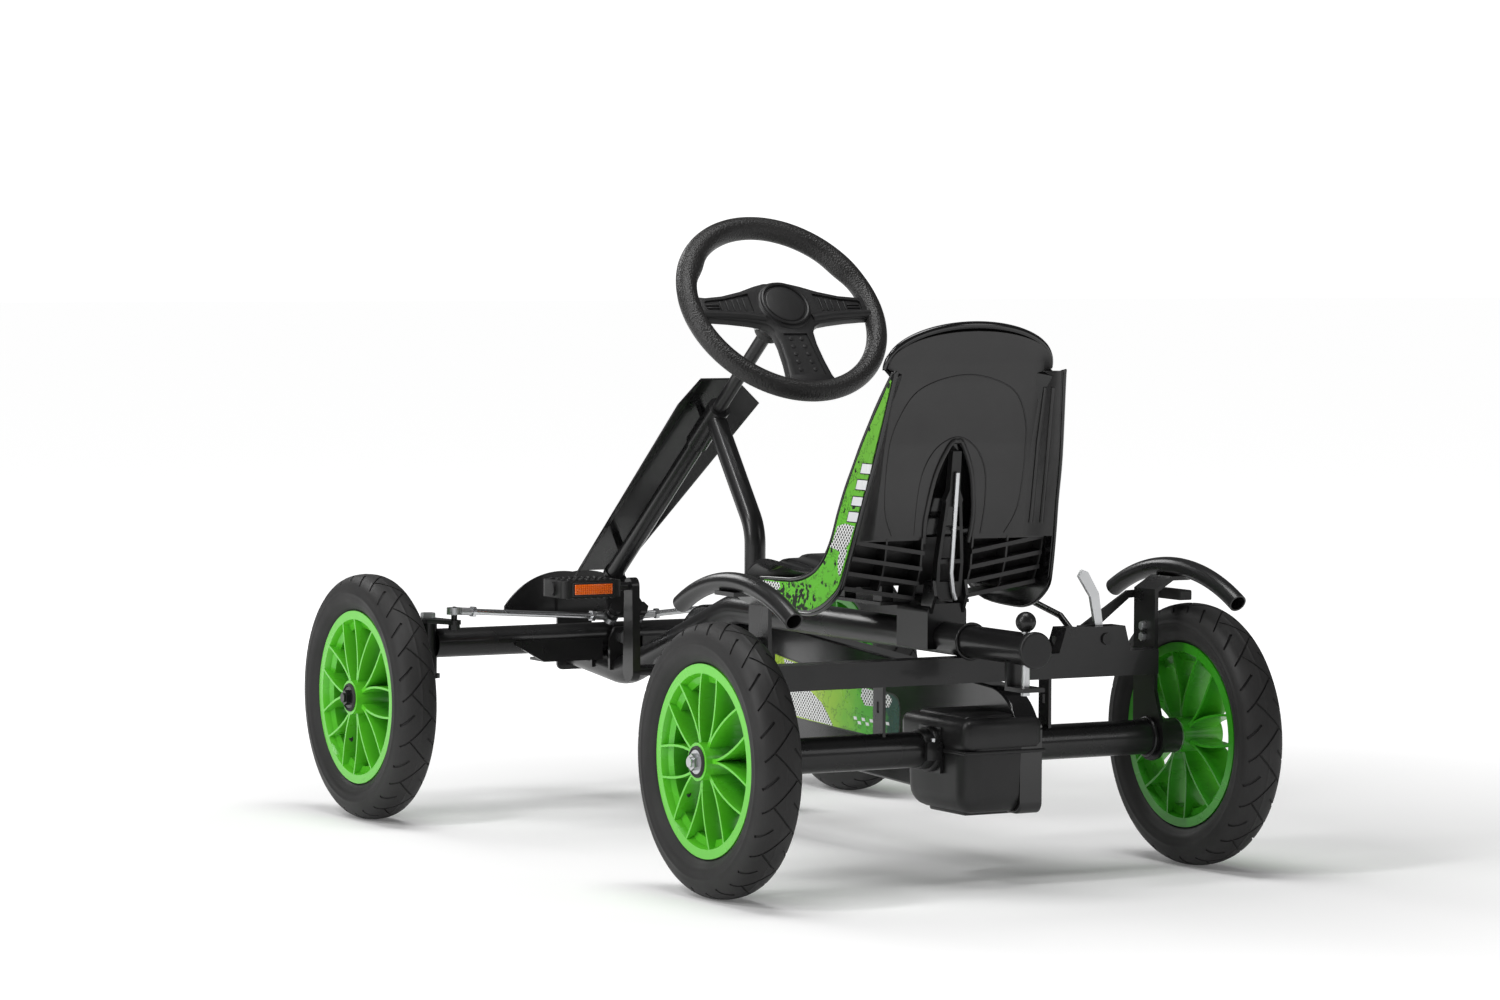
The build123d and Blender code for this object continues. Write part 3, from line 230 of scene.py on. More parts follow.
class Finish:
    """A material under construction: its node tree, its shader and its place coordinates."""

    def __init__(self, name, metallic=0.0, coat=0.0, specular=0.5):
        self.material = bpy.data.materials.new(name)
        self.material.use_nodes = True
        self.tree = self.material.node_tree
        self.shader = self.tree.nodes["Principled BSDF"]
        self.shader.inputs["Metallic"].default_value = metallic
        self.shader.inputs["Coat Weight"].default_value = coat
        self.shader.inputs["Coat Roughness"].default_value = 0.08
        self.shader.inputs["Specular IOR Level"].default_value = specular
        self.place = self.tree.nodes.new("ShaderNodeTexCoord").outputs["Object"]

    def node(self, kind, **settings):
        made = self.tree.nodes.new(kind)
        for key, value in settings.items():
            setattr(made, key, value)
        return made

    def join(self, source, target):
        self.tree.links.new(source, target)

    def placed(self, group, **values):
        """One of the shared effects, set with this finish's own values."""
        made = self.node("ShaderNodeGroup", node_tree=group)
        self.join(self.place, made.inputs["Place"])
        for label, value in values.items():
            made.inputs[label].default_value = value
        return made

    def number(self, operation, first, second, third=None):
        """A math node; each operand is a socket or a plain number."""
        made = self.node("ShaderNodeMath", operation=operation)
        for index, operand in enumerate((first, second, third)):
            if operand is None:
                continue
            if isinstance(operand, (int, float)):
                made.inputs[index].default_value = operand
            else:
                self.join(operand, made.inputs[index])
        return made.outputs["Value"]

    def mixed(self, mask, first, second):
        """A colour between two, by a mask; each colour is a socket or a plain colour."""
        made = self.node("ShaderNodeMix", data_type="RGBA")
        self.join(mask, made.inputs["Factor"])
        for label, colour in (("A", first), ("B", second)):
            if isinstance(colour, tuple):
                made.inputs[label].default_value = (*colour, 1.0)
            else:
                self.join(colour, made.inputs[label])
        return made.outputs["Result"]

    def bump(self, height, strength, distance):
        made = self.node("ShaderNodeBump")
        made.inputs["Strength"].default_value = strength
        made.inputs["Distance"].default_value = distance
        self.join(height, made.inputs["Height"])
        self.join(made.outputs["Normal"], self.shader.inputs["Normal"])

    def dusty(self, colour, dust, amount):
        """The base colour under a thin veil of dust."""
        veil = self.placed(DUST, Dust=(*dust, 1.0), Amount=amount)
        if isinstance(colour, tuple):
            veil.inputs["Colour"].default_value = (*colour, 1.0)
        else:
            self.join(colour, veil.inputs["Colour"])
        self.join(veil.outputs["Colour"], self.shader.inputs["Base Color"])

    def shiny(self, low, high, size=9.0):
        shine = self.placed(SHINE, Size=size, Low=low, High=high)
        self.join(shine.outputs["Roughness"], self.shader.inputs["Roughness"])

    def printed(self):
        """The smooth, slightly rippled surface of a printed sheet."""
        self.shiny(0.2, 0.32)
        relief = self.placed(GRAIN, Size=900.0)
        self.bump(relief.outputs["Height"], 0.06, 0.0003)

    def axes(self):
        """The X, Y and Z of the place, as sockets."""
        split = self.node("ShaderNodeSeparateXYZ")
        self.join(self.place, split.inputs["Vector"])
        return split.outputs

    def ramp(self, source, start, end, top=1.0):
        """A mask that rises from 0 at the start value to its top at the end value."""
        made = self.node("ShaderNodeMapRange")
        made.inputs["From Min"].default_value = start
        made.inputs["From Max"].default_value = end
        made.inputs["To Max"].default_value = top
        self.join(source, made.inputs["Value"])
        return made.outputs["Result"]

    def torn(self, scale, detail, roughness):
        """A cloudy noise for torn or cracked print."""
        made = self.node("ShaderNodeTexNoise")
        made.inputs["Scale"].default_value = scale
        made.inputs["Detail"].default_value = detail
        made.inputs["Roughness"].default_value = roughness
        self.join(self.place, made.inputs["Vector"])
        return made.outputs["Fac"]

    def crack(self, noise, level, width):
        """Thin lines where the noise passes a level."""
        away = self.number("ABSOLUTE", self.number("SUBTRACT", noise, level), None)
        return self.number("LESS_THAN", away, width)


DARK_DUST = (0.16, 0.155, 0.15)


def plain_finish(name, colour, low, high, grain, strength, depth, dust=DARK_DUST, amount=0.04, **kind):
    """A finish of one colour with its own shine, fine relief and dust."""
    made = Finish(name, **kind)
    made.dusty(colour, dust, amount)
    made.shiny(low, high)
    relief = made.placed(GRAIN, Size=grain)
    made.bump(relief.outputs["Height"], strength, depth)
    return made.material


powder_coat = plain_finish("black_powder_coat", (0.0065, 0.0065, 0.007), 0.24, 0.36, 850.0, 0.25, 0.0004,
                           coat=0.15, specular=0.35, amount=0.05)
zinc_plate = plain_finish("zinc_plate", (0.60, 0.61, 0.62), 0.22, 0.42, 700.0, 0.12, 0.0003,
                          metallic=1.0, dust=(0.35, 0.35, 0.36), amount=0.35)
chrome_plate = plain_finish("chrome_plate", (0.78, 0.79, 0.81), 0.08, 0.2, 300.0, 0.03, 0.0003,
                            metallic=1.0, dust=(0.55, 0.55, 0.56), amount=0.2)
moulded_black = plain_finish("moulded_black_plastic", (0.0085, 0.0085, 0.009), 0.34, 0.46, 1100.0, 0.35,
                             0.0004, specular=0.4, amount=0.06)
gloss_black = plain_finish("gloss_black_plastic", (0.004, 0.004, 0.0045), 0.10, 0.2, 60.0, 0.03, 0.001,
                           coat=0.3, specular=0.4, amount=0.03)
soft_rubber = plain_finish("soft_black_rubber", (0.010, 0.010, 0.010), 0.55, 0.7, 900.0, 0.3, 0.0004,
                           amount=0.1)


# ---------------------------------------------------------------- modelling helpers
def deselect():
    """Nothing selected, so that an operator acts only on what comes next."""
    if bpy.context.object and bpy.context.object.mode != "OBJECT":
        bpy.ops.object.mode_set(mode="OBJECT")
    bpy.ops.object.select_all(action="DESELECT")


def take(piece):
    """Makes one piece the only selected and active one."""
    deselect()
    piece.select_set(True)
    bpy.context.view_layer.objects.active = piece


def settle(piece):
    """Puts a piece's place into its mesh and leaves its object at the origin."""
    take(piece)
    bpy.ops.object.transform_apply(location=True, rotation=True, scale=True)


def finish_piece(piece, name, body, material, stands_for=(), angle=40):
    """Names, smooths and paints a piece, and joins it to its body."""
    settle(piece)
    bpy.ops.object.shade_smooth_by_angle(angle=math.radians(angle))
    piece.name = name
    piece.data.name = name
    piece.data.materials.clear()
    piece.data.materials.append(material)
    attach(piece, body)
    if stands_for:
        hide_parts(*stands_for)
    return piece


def change(piece, kind, **settings):
    """Adds a modifier, sets it and applies it."""
    take(piece)
    modifier = piece.modifiers.new(kind.lower(), kind)
    for key, value in settings.items():
        setattr(modifier, key, value)
    bpy.ops.object.modifier_apply(modifier=modifier.name)


def tidy_faces(piece, gap=0.00002):
    """Merges doubled vertices and turns all faces outwards."""
    take(piece)
    bpy.ops.object.mode_set(mode="EDIT")
    bpy.ops.mesh.select_all(action="SELECT")
    bpy.ops.mesh.remove_doubles(threshold=gap)
    bpy.ops.mesh.normals_make_consistent(inside=False)
    bpy.ops.object.mode_set(mode="OBJECT")


def joined(pieces):
    """Several pieces as one object."""
    deselect()
    for piece in pieces:
        piece.select_set(True)
    bpy.context.view_layer.objects.active = pieces[0]
    bpy.ops.object.join()
    return bpy.context.view_layer.objects.active


def copied(piece, move=None):
    """A copy with its own mesh, moved by a matrix."""
    twin = piece.copy()
    twin.data = piece.data.copy()
    bpy.context.scene.collection.objects.link(twin)
    if move is not None:
        twin.data.transform(move)
        if move.to_3x3().determinant() < 0:
            twin.data.flip_normals()
    return twin


def moulded_sheet(name, across, along, place):
    """A grid primitive laid onto a surface given by place(u, v) for u and v from 0 to 1."""
    deselect()
    bpy.ops.mesh.primitive_grid_add(x_subdivisions=across, y_subdivisions=along, size=2)
    sheet = bpy.context.active_object
    sheet.name = name
    for vertex in sheet.data.vertices:
        vertex.co = place((vertex.co.x + 1) / 2, (vertex.co.y + 1) / 2)
    return sheet


def flowed(points, steps, closed=False):
    """A smooth run of points through the given ones."""
    count = len(points)
    spans = count if closed else count - 1
    run = []
    for span in range(spans):
        picks = []
        for shift in (-1, 0, 1, 2):
            index = span + shift
            index = index % count if closed else min(max(index, 0), count - 1)
            picks.append(points[index])
        for step in range(steps):
            t = step / steps
            run.append(tuple(0.5 * (2 * b + (c - a) * t + (2 * a - 5 * b + 4 * c - d) * t * t
                                    + (3 * b - a - 3 * c + d) * t ** 3)
                             for a, b, c, d in zip(*picks)))
    if not closed:
        run.append(tuple(points[-1]))
    return run


def at_height(table, z):
    """Reads a value from a table of (z, value) rows, smoothly between rows."""
    if z <= table[0][0]:
        return table[0][1]
    for (z0, v0), (z1, v1) in zip(table, table[1:]):
        if z <= z1:
            return v0 + (v1 - v0) * (z - z0) / (z1 - z0)
    return table[-1][1]


def from_shape(name, shape):
    """A new piece whose mesh is the given bmesh shape."""
    mesh = bpy.data.meshes.new(name)
    shape.to_mesh(mesh)
    shape.free()
    piece = bpy.data.objects.new(name, mesh)
    bpy.context.scene.collection.objects.link(piece)
    return piece


def turned_ring(name, outline, steps, centre=(0, 0, 0)):
    """A closed outline of (y, radius) points spun round the Y axis in edit mode."""
    shape = bmesh.new()
    corners = [shape.verts.new((r / 1000, y / 1000, 0)) for y, r in outline]
    for a, b in zip(corners, corners[1:] + corners[:1]):
        shape.edges.new((a, b))
    piece = from_shape(name, shape)
    take(piece)
    bpy.ops.object.mode_set(mode="EDIT")
    bpy.ops.mesh.select_all(action="SELECT")
    bpy.ops.mesh.spin(steps=steps, angle=2 * math.pi, center=(0, 0, 0), axis=(0, 1, 0))
    bpy.ops.object.mode_set(mode="OBJECT")
    tidy_faces(piece)
    piece.data.transform(Matrix.Translation(Vector(centre)))
    return piece


# ---------------------------------------------------------------- plates and lines laid on a surface
def plate(name, outline, onto, low, high):
    """A flat plate with a given outline; onto(a, b, lift) carries it to its surface."""
    shape = bmesh.new()
    under = [shape.verts.new(onto(a, b, low)) for a, b in outline]
    over = [shape.verts.new(onto(a, b, high)) for a, b in outline]
    shape.faces.new(list(reversed(under)))
    shape.faces.new(over)
    for index in range(len(outline)):
        after = (index + 1) % len(outline)
        shape.faces.new((under[index], under[after], over[after], over[index]))
    bmesh.ops.recalc_face_normals(shape, faces=shape.faces)
    return from_shape(name, shape)


def bar_along(name, points, radius, closed=False, sides=2):
    """A round bar along a run of points, made with a curve's bevel and turned into a mesh."""
    line = bpy.data.curves.new(name, "CURVE")
    line.dimensions = "3D"
    line.bevel_depth = radius
    line.bevel_resolution = sides
    line.use_fill_caps = True
    spline = line.splines.new("POLY")
    spline.points.add(len(points) - 1)
    for point, place in zip(spline.points, points):
        point.co = (*place, 1)
    spline.use_cyclic_u = closed
    bar = bpy.data.objects.new(name, line)
    bpy.context.scene.collection.objects.link(bar)
    take(bar)
    bpy.ops.object.convert(target="MESH")
    return bpy.context.active_object


def rounded_block(name, low, high, bevel, turn=None):
    """A bevelled block between two corners, in millimetres."""
    deselect()
    middle = [(a + b) / 2000 for a, b in zip(low, high)]
    bpy.ops.mesh.primitive_cube_add(size=1, location=(0, 0, 0))
    block = bpy.context.active_object
    block.name = name
    block.data.transform(Matrix.Diagonal([(b - a) / 1000 for a, b in zip(low, high)] + [1]))
    change(block, "BEVEL", width=bevel / 1000, segments=3, limit_method="ANGLE")
    if turn is not None:
        block.data.transform(turn)
    block.data.transform(Matrix.Translation(middle))
    return block


def drum(name, centre, axis, radius, length, bevel, sides=48, top=None):
    """A bevelled cylinder or cone about an axis, standing on its centre."""
    deselect()
    bpy.ops.mesh.primitive_cone_add(vertices=sides, radius1=radius / 1000,
                                    radius2=(radius if top is None else top) / 1000, depth=length / 1000)
    piece = bpy.context.active_object
    piece.name = name
    piece.data.transform(Matrix.Translation((0, 0, length / 2000)))
    if bevel:
        change(piece, "BEVEL", width=bevel / 1000, segments=3, limit_method="ANGLE",
               angle_limit=math.radians(50))
    turn = Vector(axis).to_track_quat("Z", "Y").to_matrix().to_4x4()
    piece.data.transform(Matrix.Translation([c / 1000 for c in centre]) @ turn)
    return piece


def carve(piece, tools):
    """Cuts the tools out of a piece."""
    tool = joined(tools)
    take(piece)
    cut = piece.modifiers.new("carve", "BOOLEAN")
    cut.operation = "DIFFERENCE"
    cut.solver = "EXACT"
    cut.use_self = True
    cut.object = tool
    bpy.ops.object.modifier_apply(modifier=cut.name)
    bpy.data.objects.remove(tool)


def to_side(piece, side, across):
    """A piece made for the positive side, mirrored in its mesh when it belongs to the other."""
    if side < 0:
        piece.data.transform(Matrix.Scale(-1, 4, across))
        piece.data.flip_normals()
    return piece


def mirrored(outline):
    """An outline given for one half, completed on the other half."""
    return outline + [(-a, b) for a, b in reversed(outline) if abs(a) > 1e-6]


# ---------------------------------------------------------------- tyres
WHEELS = {
    "rear_left": ((-0.437, 0.330, 0.159), 1, "rear_axle", 174.5),
    "rear_right": ((-0.437, -0.330, 0.159), -1, "rear_axle", 146.0),
    "front_left": ((0.437, 0.360, 0.159), 1, "front_left_wheel", 154.7),
    "front_right": ((0.437, -0.360, 0.159), -1, "front_right_wheel", 160.0),
}
CROWN = [(0, 159.25), (0.5, 159.0), (5, 158.9), (10, 158.2), (14.5, 156.9), (18.5, 155.0), (22, 152.2),
         (24.6, 149.0), (26.3, 145.2)]
SIDE = [(27.3, 141.0), (27.9, 137.2), (28.5, 136.3), (28.6, 134.2), (28.2, 133.4), (28.1, 129.5),
        (27.4, 125.8), (26.0, 122.2), (25.2, 121.4), (23.9, 119.2), (21.6, 116.2), (19.4, 114.2),
        (17.0, 112.7), (14.2, 102.6)]
INSIDE = [(10.8, 102.6), (12.2, 112), (15, 116), (21, 124), (22.8, 133), (21.5, 140), (16.5, 147), (9, 151)]


GROOVES = 16              # slanting grooves on each shoulder
GROOVE_PITCH = 360 / GROOVES
GROOVE_SLOPE = 0.395      # degrees round the tyre for each millimetre across it
GROOVE_STEPS = 7
GROOVE_DEPTH = 0.55
SPIN_STEPS = 160


def crown_radius(lateral):
    """The tyre's radius at a distance from its middle line, in millimetres."""
    lateral = abs(lateral)
    for (y0, r0), (y1, r1) in zip(CROWN[1:], CROWN[2:]):
        if lateral <= y1:
            return r0 + (r1 - r0) * (lateral - y0) / (y1 - y0)
    return CROWN[-1][1]


def groove_cutter(start, end, crossing, slope, width):
    """A round-bottomed cutter bent over the tread from one lateral place to another."""
    run = []
    for index in range(GROOVE_STEPS + 1):
        lateral = start + (end - start) * index / GROOVE_STEPS
        radius = (crown_radius(lateral) - GROOVE_DEPTH) / 1000
        angle = math.radians(crossing + slope * lateral)
        run.append((radius * math.cos(angle), lateral / 1000, radius * math.sin(angle)))
    return bar_along("tread_groove", run, width, sides=1)


def make_tyre():
    """One tyre at the origin: a spun carcass with slanting grooves cut into its tread."""
    half = CROWN + SIDE
    outline = half + INSIDE + [(0, 152)] + [(-y, r) for y, r in reversed(INSIDE)]
    outline += [(-y, r) for y, r in reversed(half[1:])]
    carcass = turned_ring("tyre", outline, SPIN_STEPS)
    cutters = []
    half_pitch = GROOVE_PITCH / 2
    for index in range(GROOVES):
        for side in (1, -1):
            crossing = index * GROOVE_PITCH + (0 if side > 0 else half_pitch)
            slope = GROOVE_SLOPE * side
            cutters.append(groove_cutter(side * 23.6, side * -13.5, crossing, slope, 0.0015))
            cutters.append(groove_cutter(side * 25.2, side * 10.5, crossing + half_pitch, slope, 0.0019))
    carve(carcass, cutters)
    return carcass


def tyre_finish():
    """Black rubber with a dull, uneven shine under a thin brownish dust."""
    made = Finish("tyre_rubber", specular=0.35)
    made.dusty((0.0125, 0.0122, 0.0125), (0.13, 0.125, 0.12), 0.12)
    made.shiny(0.5, 0.68, 14.0)
    relief = made.placed(GRAIN, Size=650.0)
    made.bump(relief.outputs["Height"], 0.35, 0.0005)
    return made.material


def place_tyres():
    """The four tyres, each turned to its own angle."""
    material = tyre_finish()
    pattern = make_tyre()
    for name, (centre, side, body, phase) in WHEELS.items():
        turn = Matrix.Rotation(math.radians(-phase + (9.0 if side > 0 else 2.0)), 4, "Y")
        mirror = Matrix.Scale(side, 4, (0, 1, 0))
        tyre = copied(pattern, Matrix.Translation(centre) @ mirror @ turn)
        finish_piece(tyre, "tread_" + name, body, material, ("tyre_" + name,), 35)
    bpy.data.objects.remove(pattern)


place_tyres()


# ---------------------------------------------------------------- steering wheel
WHEEL_TURN = Matrix(((0, 0.62932, -0.77715), (-1, 0, 0), (0, 0.77715, 0.62932))).to_4x4()
WHEEL_PLACE = Matrix.Translation((-0.00531, 0, 0.66801)) @ WHEEL_TURN
GRIP_RING = 129.4         # mm, from the wheel's centre to the grip's middle line
GRIP_ROUND = 13.0         # mm, the grip's own radius


def grip_finish():
    """Black moulded grip with a leather grain."""
    made = Finish("grip_leather_grain", specular=0.45)
    made.dusty((0.0095, 0.009, 0.009), (0.15, 0.145, 0.14), 0.06)
    made.shiny(0.36, 0.5, 20.0)
    pebbles = made.placed(LEATHER, Size=430.0)
    made.bump(pebbles.outputs["Height"], 0.55, 0.0012)
    return made.material


def grip_thickness(angle):
    """How much thicker the grip is at an angle round the wheel: full on top, with two thumb rests."""
    away = abs((angle - 90 + 180) % 360 - 180)
    top = 1.6 / (1 + math.exp((away - 66) / 3.0))
    thumb = 2.6 * math.exp(-((away - 58) / 9.0) ** 2)
    return top, thumb


def make_grip():
    """The wheel's grip ring, swollen at the thumb rests."""
    deselect()
    bpy.ops.mesh.primitive_torus_add(major_segments=180, minor_segments=32, major_radius=GRIP_RING / 1000,
                                     minor_radius=GRIP_ROUND / 1000)
    grip = bpy.context.active_object
    for vertex in grip.data.vertices:
        angle = math.atan2(vertex.co.y, vertex.co.x)
        radial = math.hypot(vertex.co.x, vertex.co.y) * 1000 - GRIP_RING
        height = vertex.co.z * 1000
        top, thumb = grip_thickness(math.degrees(angle))
        scale = 1 + top / GRIP_ROUND
        radial *= scale
        height *= scale
        if radial < 0:
            radial -= thumb * (-radial / 14.0)
        distance = (GRIP_RING - top * 0.55 + radial) / 1000
        vertex.co = (distance * math.cos(angle), distance * math.sin(angle), height / 1000)
    grip.data.transform(WHEEL_PLACE)
    finish_piece(grip, "steering_grip", "steering", grip_finish(), ("steering_wheel_rim",))


SPOKE_SIDE = [(0, 36), (18, 35.5), (34, 31), (56, 23), (84, 16), (108, 13.5), (124, 15.5), (124, -19),
              (108, -19.5), (84, -21.5), (58, -25), (42, -28), (33, -33), (28, -42), (26.5, -60),
              (28, -86), (31, -108), (36, -122), (0, -124)]


def flat_on_wheel(a, b, lift):
    return Vector((a / 1000, b / 1000, lift / 1000))


def make_spokes():
    """The spoke casting: three spokes with sunk panels, ribs, dimples and a domed hub disc."""
    casting = plate("spokes", mirrored(SPOKE_SIDE[:-1]), flat_on_wheel, -6.5, 6.5)
    change(casting, "BEVEL", width=0.0026, segments=3, limit_method="ANGLE", angle_limit=math.radians(60))
    panels = []
    for side in (1, -1):
        panel = [(46, 19), (58, 16.5), (84, 10.5), (108, 8), (112, 6), (112, -5), (108, -7), (84, -8),
                 (58, -9), (46, -9)]
        panels.append(plate("panel", [(side * a, b) for a, b in panel], flat_on_wheel, 4.3, 9))
    low = [(-17, -44), (17, -44), (18, -60), (20, -86), (22, -108), (-22, -108), (-20, -86), (-18, -60)]
    panels.append(plate("panel", low, flat_on_wheel, 4.5, 9))
    carve(casting, panels)
    parts = [casting]
    for side in (1, -1):
        for place, half in ((54, 13), (62, 12), (70, 11), (79, 9.5), (88, 8.5)):
            rib = rounded_block("rib", (place, -7.5, 3.6), (place + 2.4, half - 1.0, 6.0), 0.5)
            parts.append(to_side(rib, side, (1, 0, 0)))
        for b in (-3.5, 1.0):
            bar = rounded_block("rib", (92, b, 3.6), (110, b + 2, 6.0), 0.5)
            parts.append(to_side(bar, side, (1, 0, 0)))
        beam = bar_along("beam", [(side * a / 1000, b / 1000, 0.0035) for a, b in
                                  ((34, -20), (60, -15.5), (90, -13.5), (121, -12.5))], 0.0062, sides=5)
        parts.append(beam)
    for row in range(5):
        for a in (-7.5, 7.5):
            parts.append(drum("dimple", (a * (1 + row * 0.1), -51 - row * 12, 3.6), (0, 0, 1), 3.1, 1.9, 0.8,
                              sides=20))
    parts.append(drum("hub_step", (0, 0, 2), (0, 0, 1), 39, 7, 2.5, sides=72, top=35))
    parts.append(drum("hub_disc", (0, 0, 8.4), (0, 0, 1), 27.5, 2.2, 0.9, sides=64, top=26))
    ring = turned_ring("hub_ring", [(8, 28.6), (11.4, 29.4), (12.2, 31), (11.4, 32.8), (8, 33.6)], 72)
    ring.data.transform(Matrix.Rotation(math.radians(90), 4, "X"))
    parts.append(ring)
    parts.append(drum("boss", (0, 0, -46), (0, 0, 1), 15.5, 42, 2.0, top=25))
    parts.append(drum("boss_end", (0, 0, -50), (0, 0, 1), 17.5, 12, 2.0))
    whole = joined(parts)
    whole.data.transform(WHEEL_PLACE)
    finish_piece(whole, "steering_spokes", "steering", moulded_black,
                 ("steering_wheel_hub",), 32)


make_grip()
make_spokes()

# ---------------------------------------------------------------- seat
BACK_LINE = [(395, -399), (440, -409), (515, -422), (565, -437), (612, -450), (659, -466)]
WALL_LEAN = 31.0 / 273.0
LEAN_COS = math.cos(math.atan(WALL_LEAN))
LEAN_SIN = math.sin(math.atan(WALL_LEAN))
WING_REAR = [(-472, 603), (-468, 588), (-447, 500), (-430, 447), (-418, 405), (-404, 362), (-394, 342),
             (-370, 325), (-345, 316), (-315, 313.5), (-250, 318), (-214, 334)]
WING_FRONT = [(-203, 349), (-259, 351), (-284, 352), (-309, 356), (-332, 364), (-350, 377), (-361, 392),
              (-369, 410), (-376, 435), (-387, 465), (-399, 490), (-411, 515), (-425, 540), (-441, 567),
              (-465, 601)]
PRINT_EDGE = [(-466, 592), (-443, 500), (-426, 447), (-414, 405), (-400, 364), (-391, 347), (-368, 331),
              (-344, 321), (-315, 317.5), (-250, 322), (-217, 337), (-208, 346.5), (-259, 347.5),
              (-286, 348.5), (-311, 352), (-335, 360.5), (-354, 374.5), (-365, 390), (-373, 409),
              (-380, 434), (-391, 463), (-402, 487), (-414, 511), (-429, 538), (-447, 566)]


def wing_half(z):
    """Half the seat's width at a height, on the outside of its leaning wings."""
    return 149 - (z - 330) * WALL_LEAN


def on_wing(side):
    """Carries side view points onto one of the leaning wings, lifted outwards."""
    def carried(x, z, lift):
        y = wing_half(z) + lift * LEAN_COS
        return Vector((x, side * y, z + lift * LEAN_SIN)) / 1000
    return carried


def print_green():
    """Green print: duller and cracked towards the top, bright below, speckled along the lower edge."""
    made = Finish("seat_print_green", coat=0.3, specular=0.4)
    axes = made.axes()
    green = made.mixed(made.ramp(axes["Z"], 0.40, 0.50), (0.125, 0.52, 0.03), (0.13, 0.40, 0.035))
    crack = made.crack(made.torn(42.0, 8.0, 0.62), 0.5, 0.007)
    cracked = made.mixed(made.number("MULTIPLY", crack, 0.8), green, (0.02, 0.045, 0.01))
    cells = made.node("ShaderNodeTexVoronoi")
    cells.inputs["Scale"].default_value = 240.0
    made.join(made.place, cells.inputs["Vector"])
    tone = made.node("ShaderNodeSeparateColor")
    made.join(cells.outputs["Color"], tone.inputs["Color"])
    low = made.ramp(axes["Z"], 0.362, 0.326, 0.62)
    front = made.ramp(axes["X"], -0.345, -0.315)
    thick = made.number("MULTIPLY", low, front)
    thick = made.number("ADD", thick, 0.035)
    speck = made.number("LESS_THAN", tone.outputs["Red"], thick)
    made.dusty(made.mixed(speck, cracked, (0.01, 0.02, 0.008)), (0.3, 0.32, 0.28), 0.03)
    made.printed()
    return made.material


def dotted_print(name, spacing, radius):
    """White print with rows of black dots."""
    made = Finish(name, coat=0.3, specular=0.4)
    axes = made.axes()
    across = made.number("DIVIDE", axes["X"], spacing)
    up = made.number("DIVIDE", axes["Z"], spacing * 0.5)
    row = made.number("FLOOR", up, None)
    shift = made.number("MULTIPLY", made.number("MODULO", row, 2.0), 0.5)
    a = made.number("SUBTRACT", made.number("FRACT", made.number("ADD", across, shift), None), 0.5)
    b = made.number("MULTIPLY", made.number("SUBTRACT", made.number("FRACT", up, None), 0.5), 0.5)
    away = made.number("SQRT", made.number("ADD", made.number("MULTIPLY", a, a),
                                           made.number("MULTIPLY", b, b)), None)
    dot = made.number("LESS_THAN", away, radius)
    made.dusty(made.mixed(dot, (0.78, 0.79, 0.78), (0.015, 0.015, 0.015)), (0.5, 0.5, 0.5), 0.05)
    made.printed()
    return made.material


ink_black = plain_finish("ink_black", (0.008, 0.008, 0.008), 0.2, 0.32, 900.0, 0.06, 0.0003, coat=0.3)
ink_white = plain_finish("ink_white", (0.72, 0.73, 0.74), 0.2, 0.32, 900.0, 0.06, 0.0003, coat=0.3)
dots_fine = dotted_print("dotted_white_print", 0.0062, 0.25)


INK_BLOCKS = [(-440.5, -419, 484, 495), (-434.5, -412, 465, 476), (-428, -406, 446, 456),
              (-422, -400, 427, 438)]
DOTTED_FIELDS = [
    ([(-418, 422), (-396, 424), (-380, 420), (-373, 404), (-367, 395), (-398, 390), (-411, 402)], 0.66),
    ([(-408, 394), (-392, 396), (-388, 380), (-392, 366), (-397, 362)], 0.68),
    ([(-258, 346.5), (-210, 346), (-217, 338), (-236, 330), (-262, 340)], 0.66),
]


def make_wings():
    """The two leaning side wings and their printed faces."""
    edge = flowed(WING_REAR, 4)[:-1] + flowed(WING_FRONT, 4)
    face = flowed(PRINT_EDGE, 4, closed=True)
    for side, name in ((1, "left"), (-1, "right")):
        wing = plate("wing", edge, on_wing(side), -5.2, -0.6)
        change(wing, "BEVEL", width=0.0016, segments=3, limit_method="ANGLE", angle_limit=math.radians(50))
        bead = bar_along("bead", [on_wing(side)(x, z, -1.6) for x, z in edge], 0.0024, closed=True, sides=3)
        finish_piece(joined([wing, bead]), "seat_wing_" + name, "seat", gloss_black,
                     ("seat_shell",) if side > 0 else ())
        sheet = plate("print", face, on_wing(side), -1.0, 0.5)
        finish_piece(sheet, "seat_print_" + name, "seat", PRINT_GREEN,
                     ("seat_side_prints",) if side > 0 else ())
        inks = []
        for x0, x1, z0, z1 in INK_BLOCKS:
            lean = (z1 - z0) * 0.24
            corners = [(x0, z0), (x1, z0), (x1 - lean, z1), (x0 - lean, z1)]
            inks.append((corners, 1.2, 0.5, 0.62, ink_black))
            inks.append((corners, 0.0, 0.6, 0.74, ink_white))
        for corners, high in DOTTED_FIELDS:
            inks.append((corners, 0, 0.5, high, dots_fine))
        for index, (corners, grow, low, high, ink) in enumerate(inks):
            middle = (sum(c[0] for c in corners) / len(corners), sum(c[1] for c in corners) / len(corners))
            grown = [(x + math.copysign(grow, x - middle[0]), z + math.copysign(grow, z - middle[1]))
                     for x, z in corners]
            mark = plate("ink", grown, on_wing(side), low, high)
            finish_piece(mark, "seat_ink_%s_%02d" % (name, index), "seat", ink)


def back_x(z):
    return at_height(BACK_LINE, z)


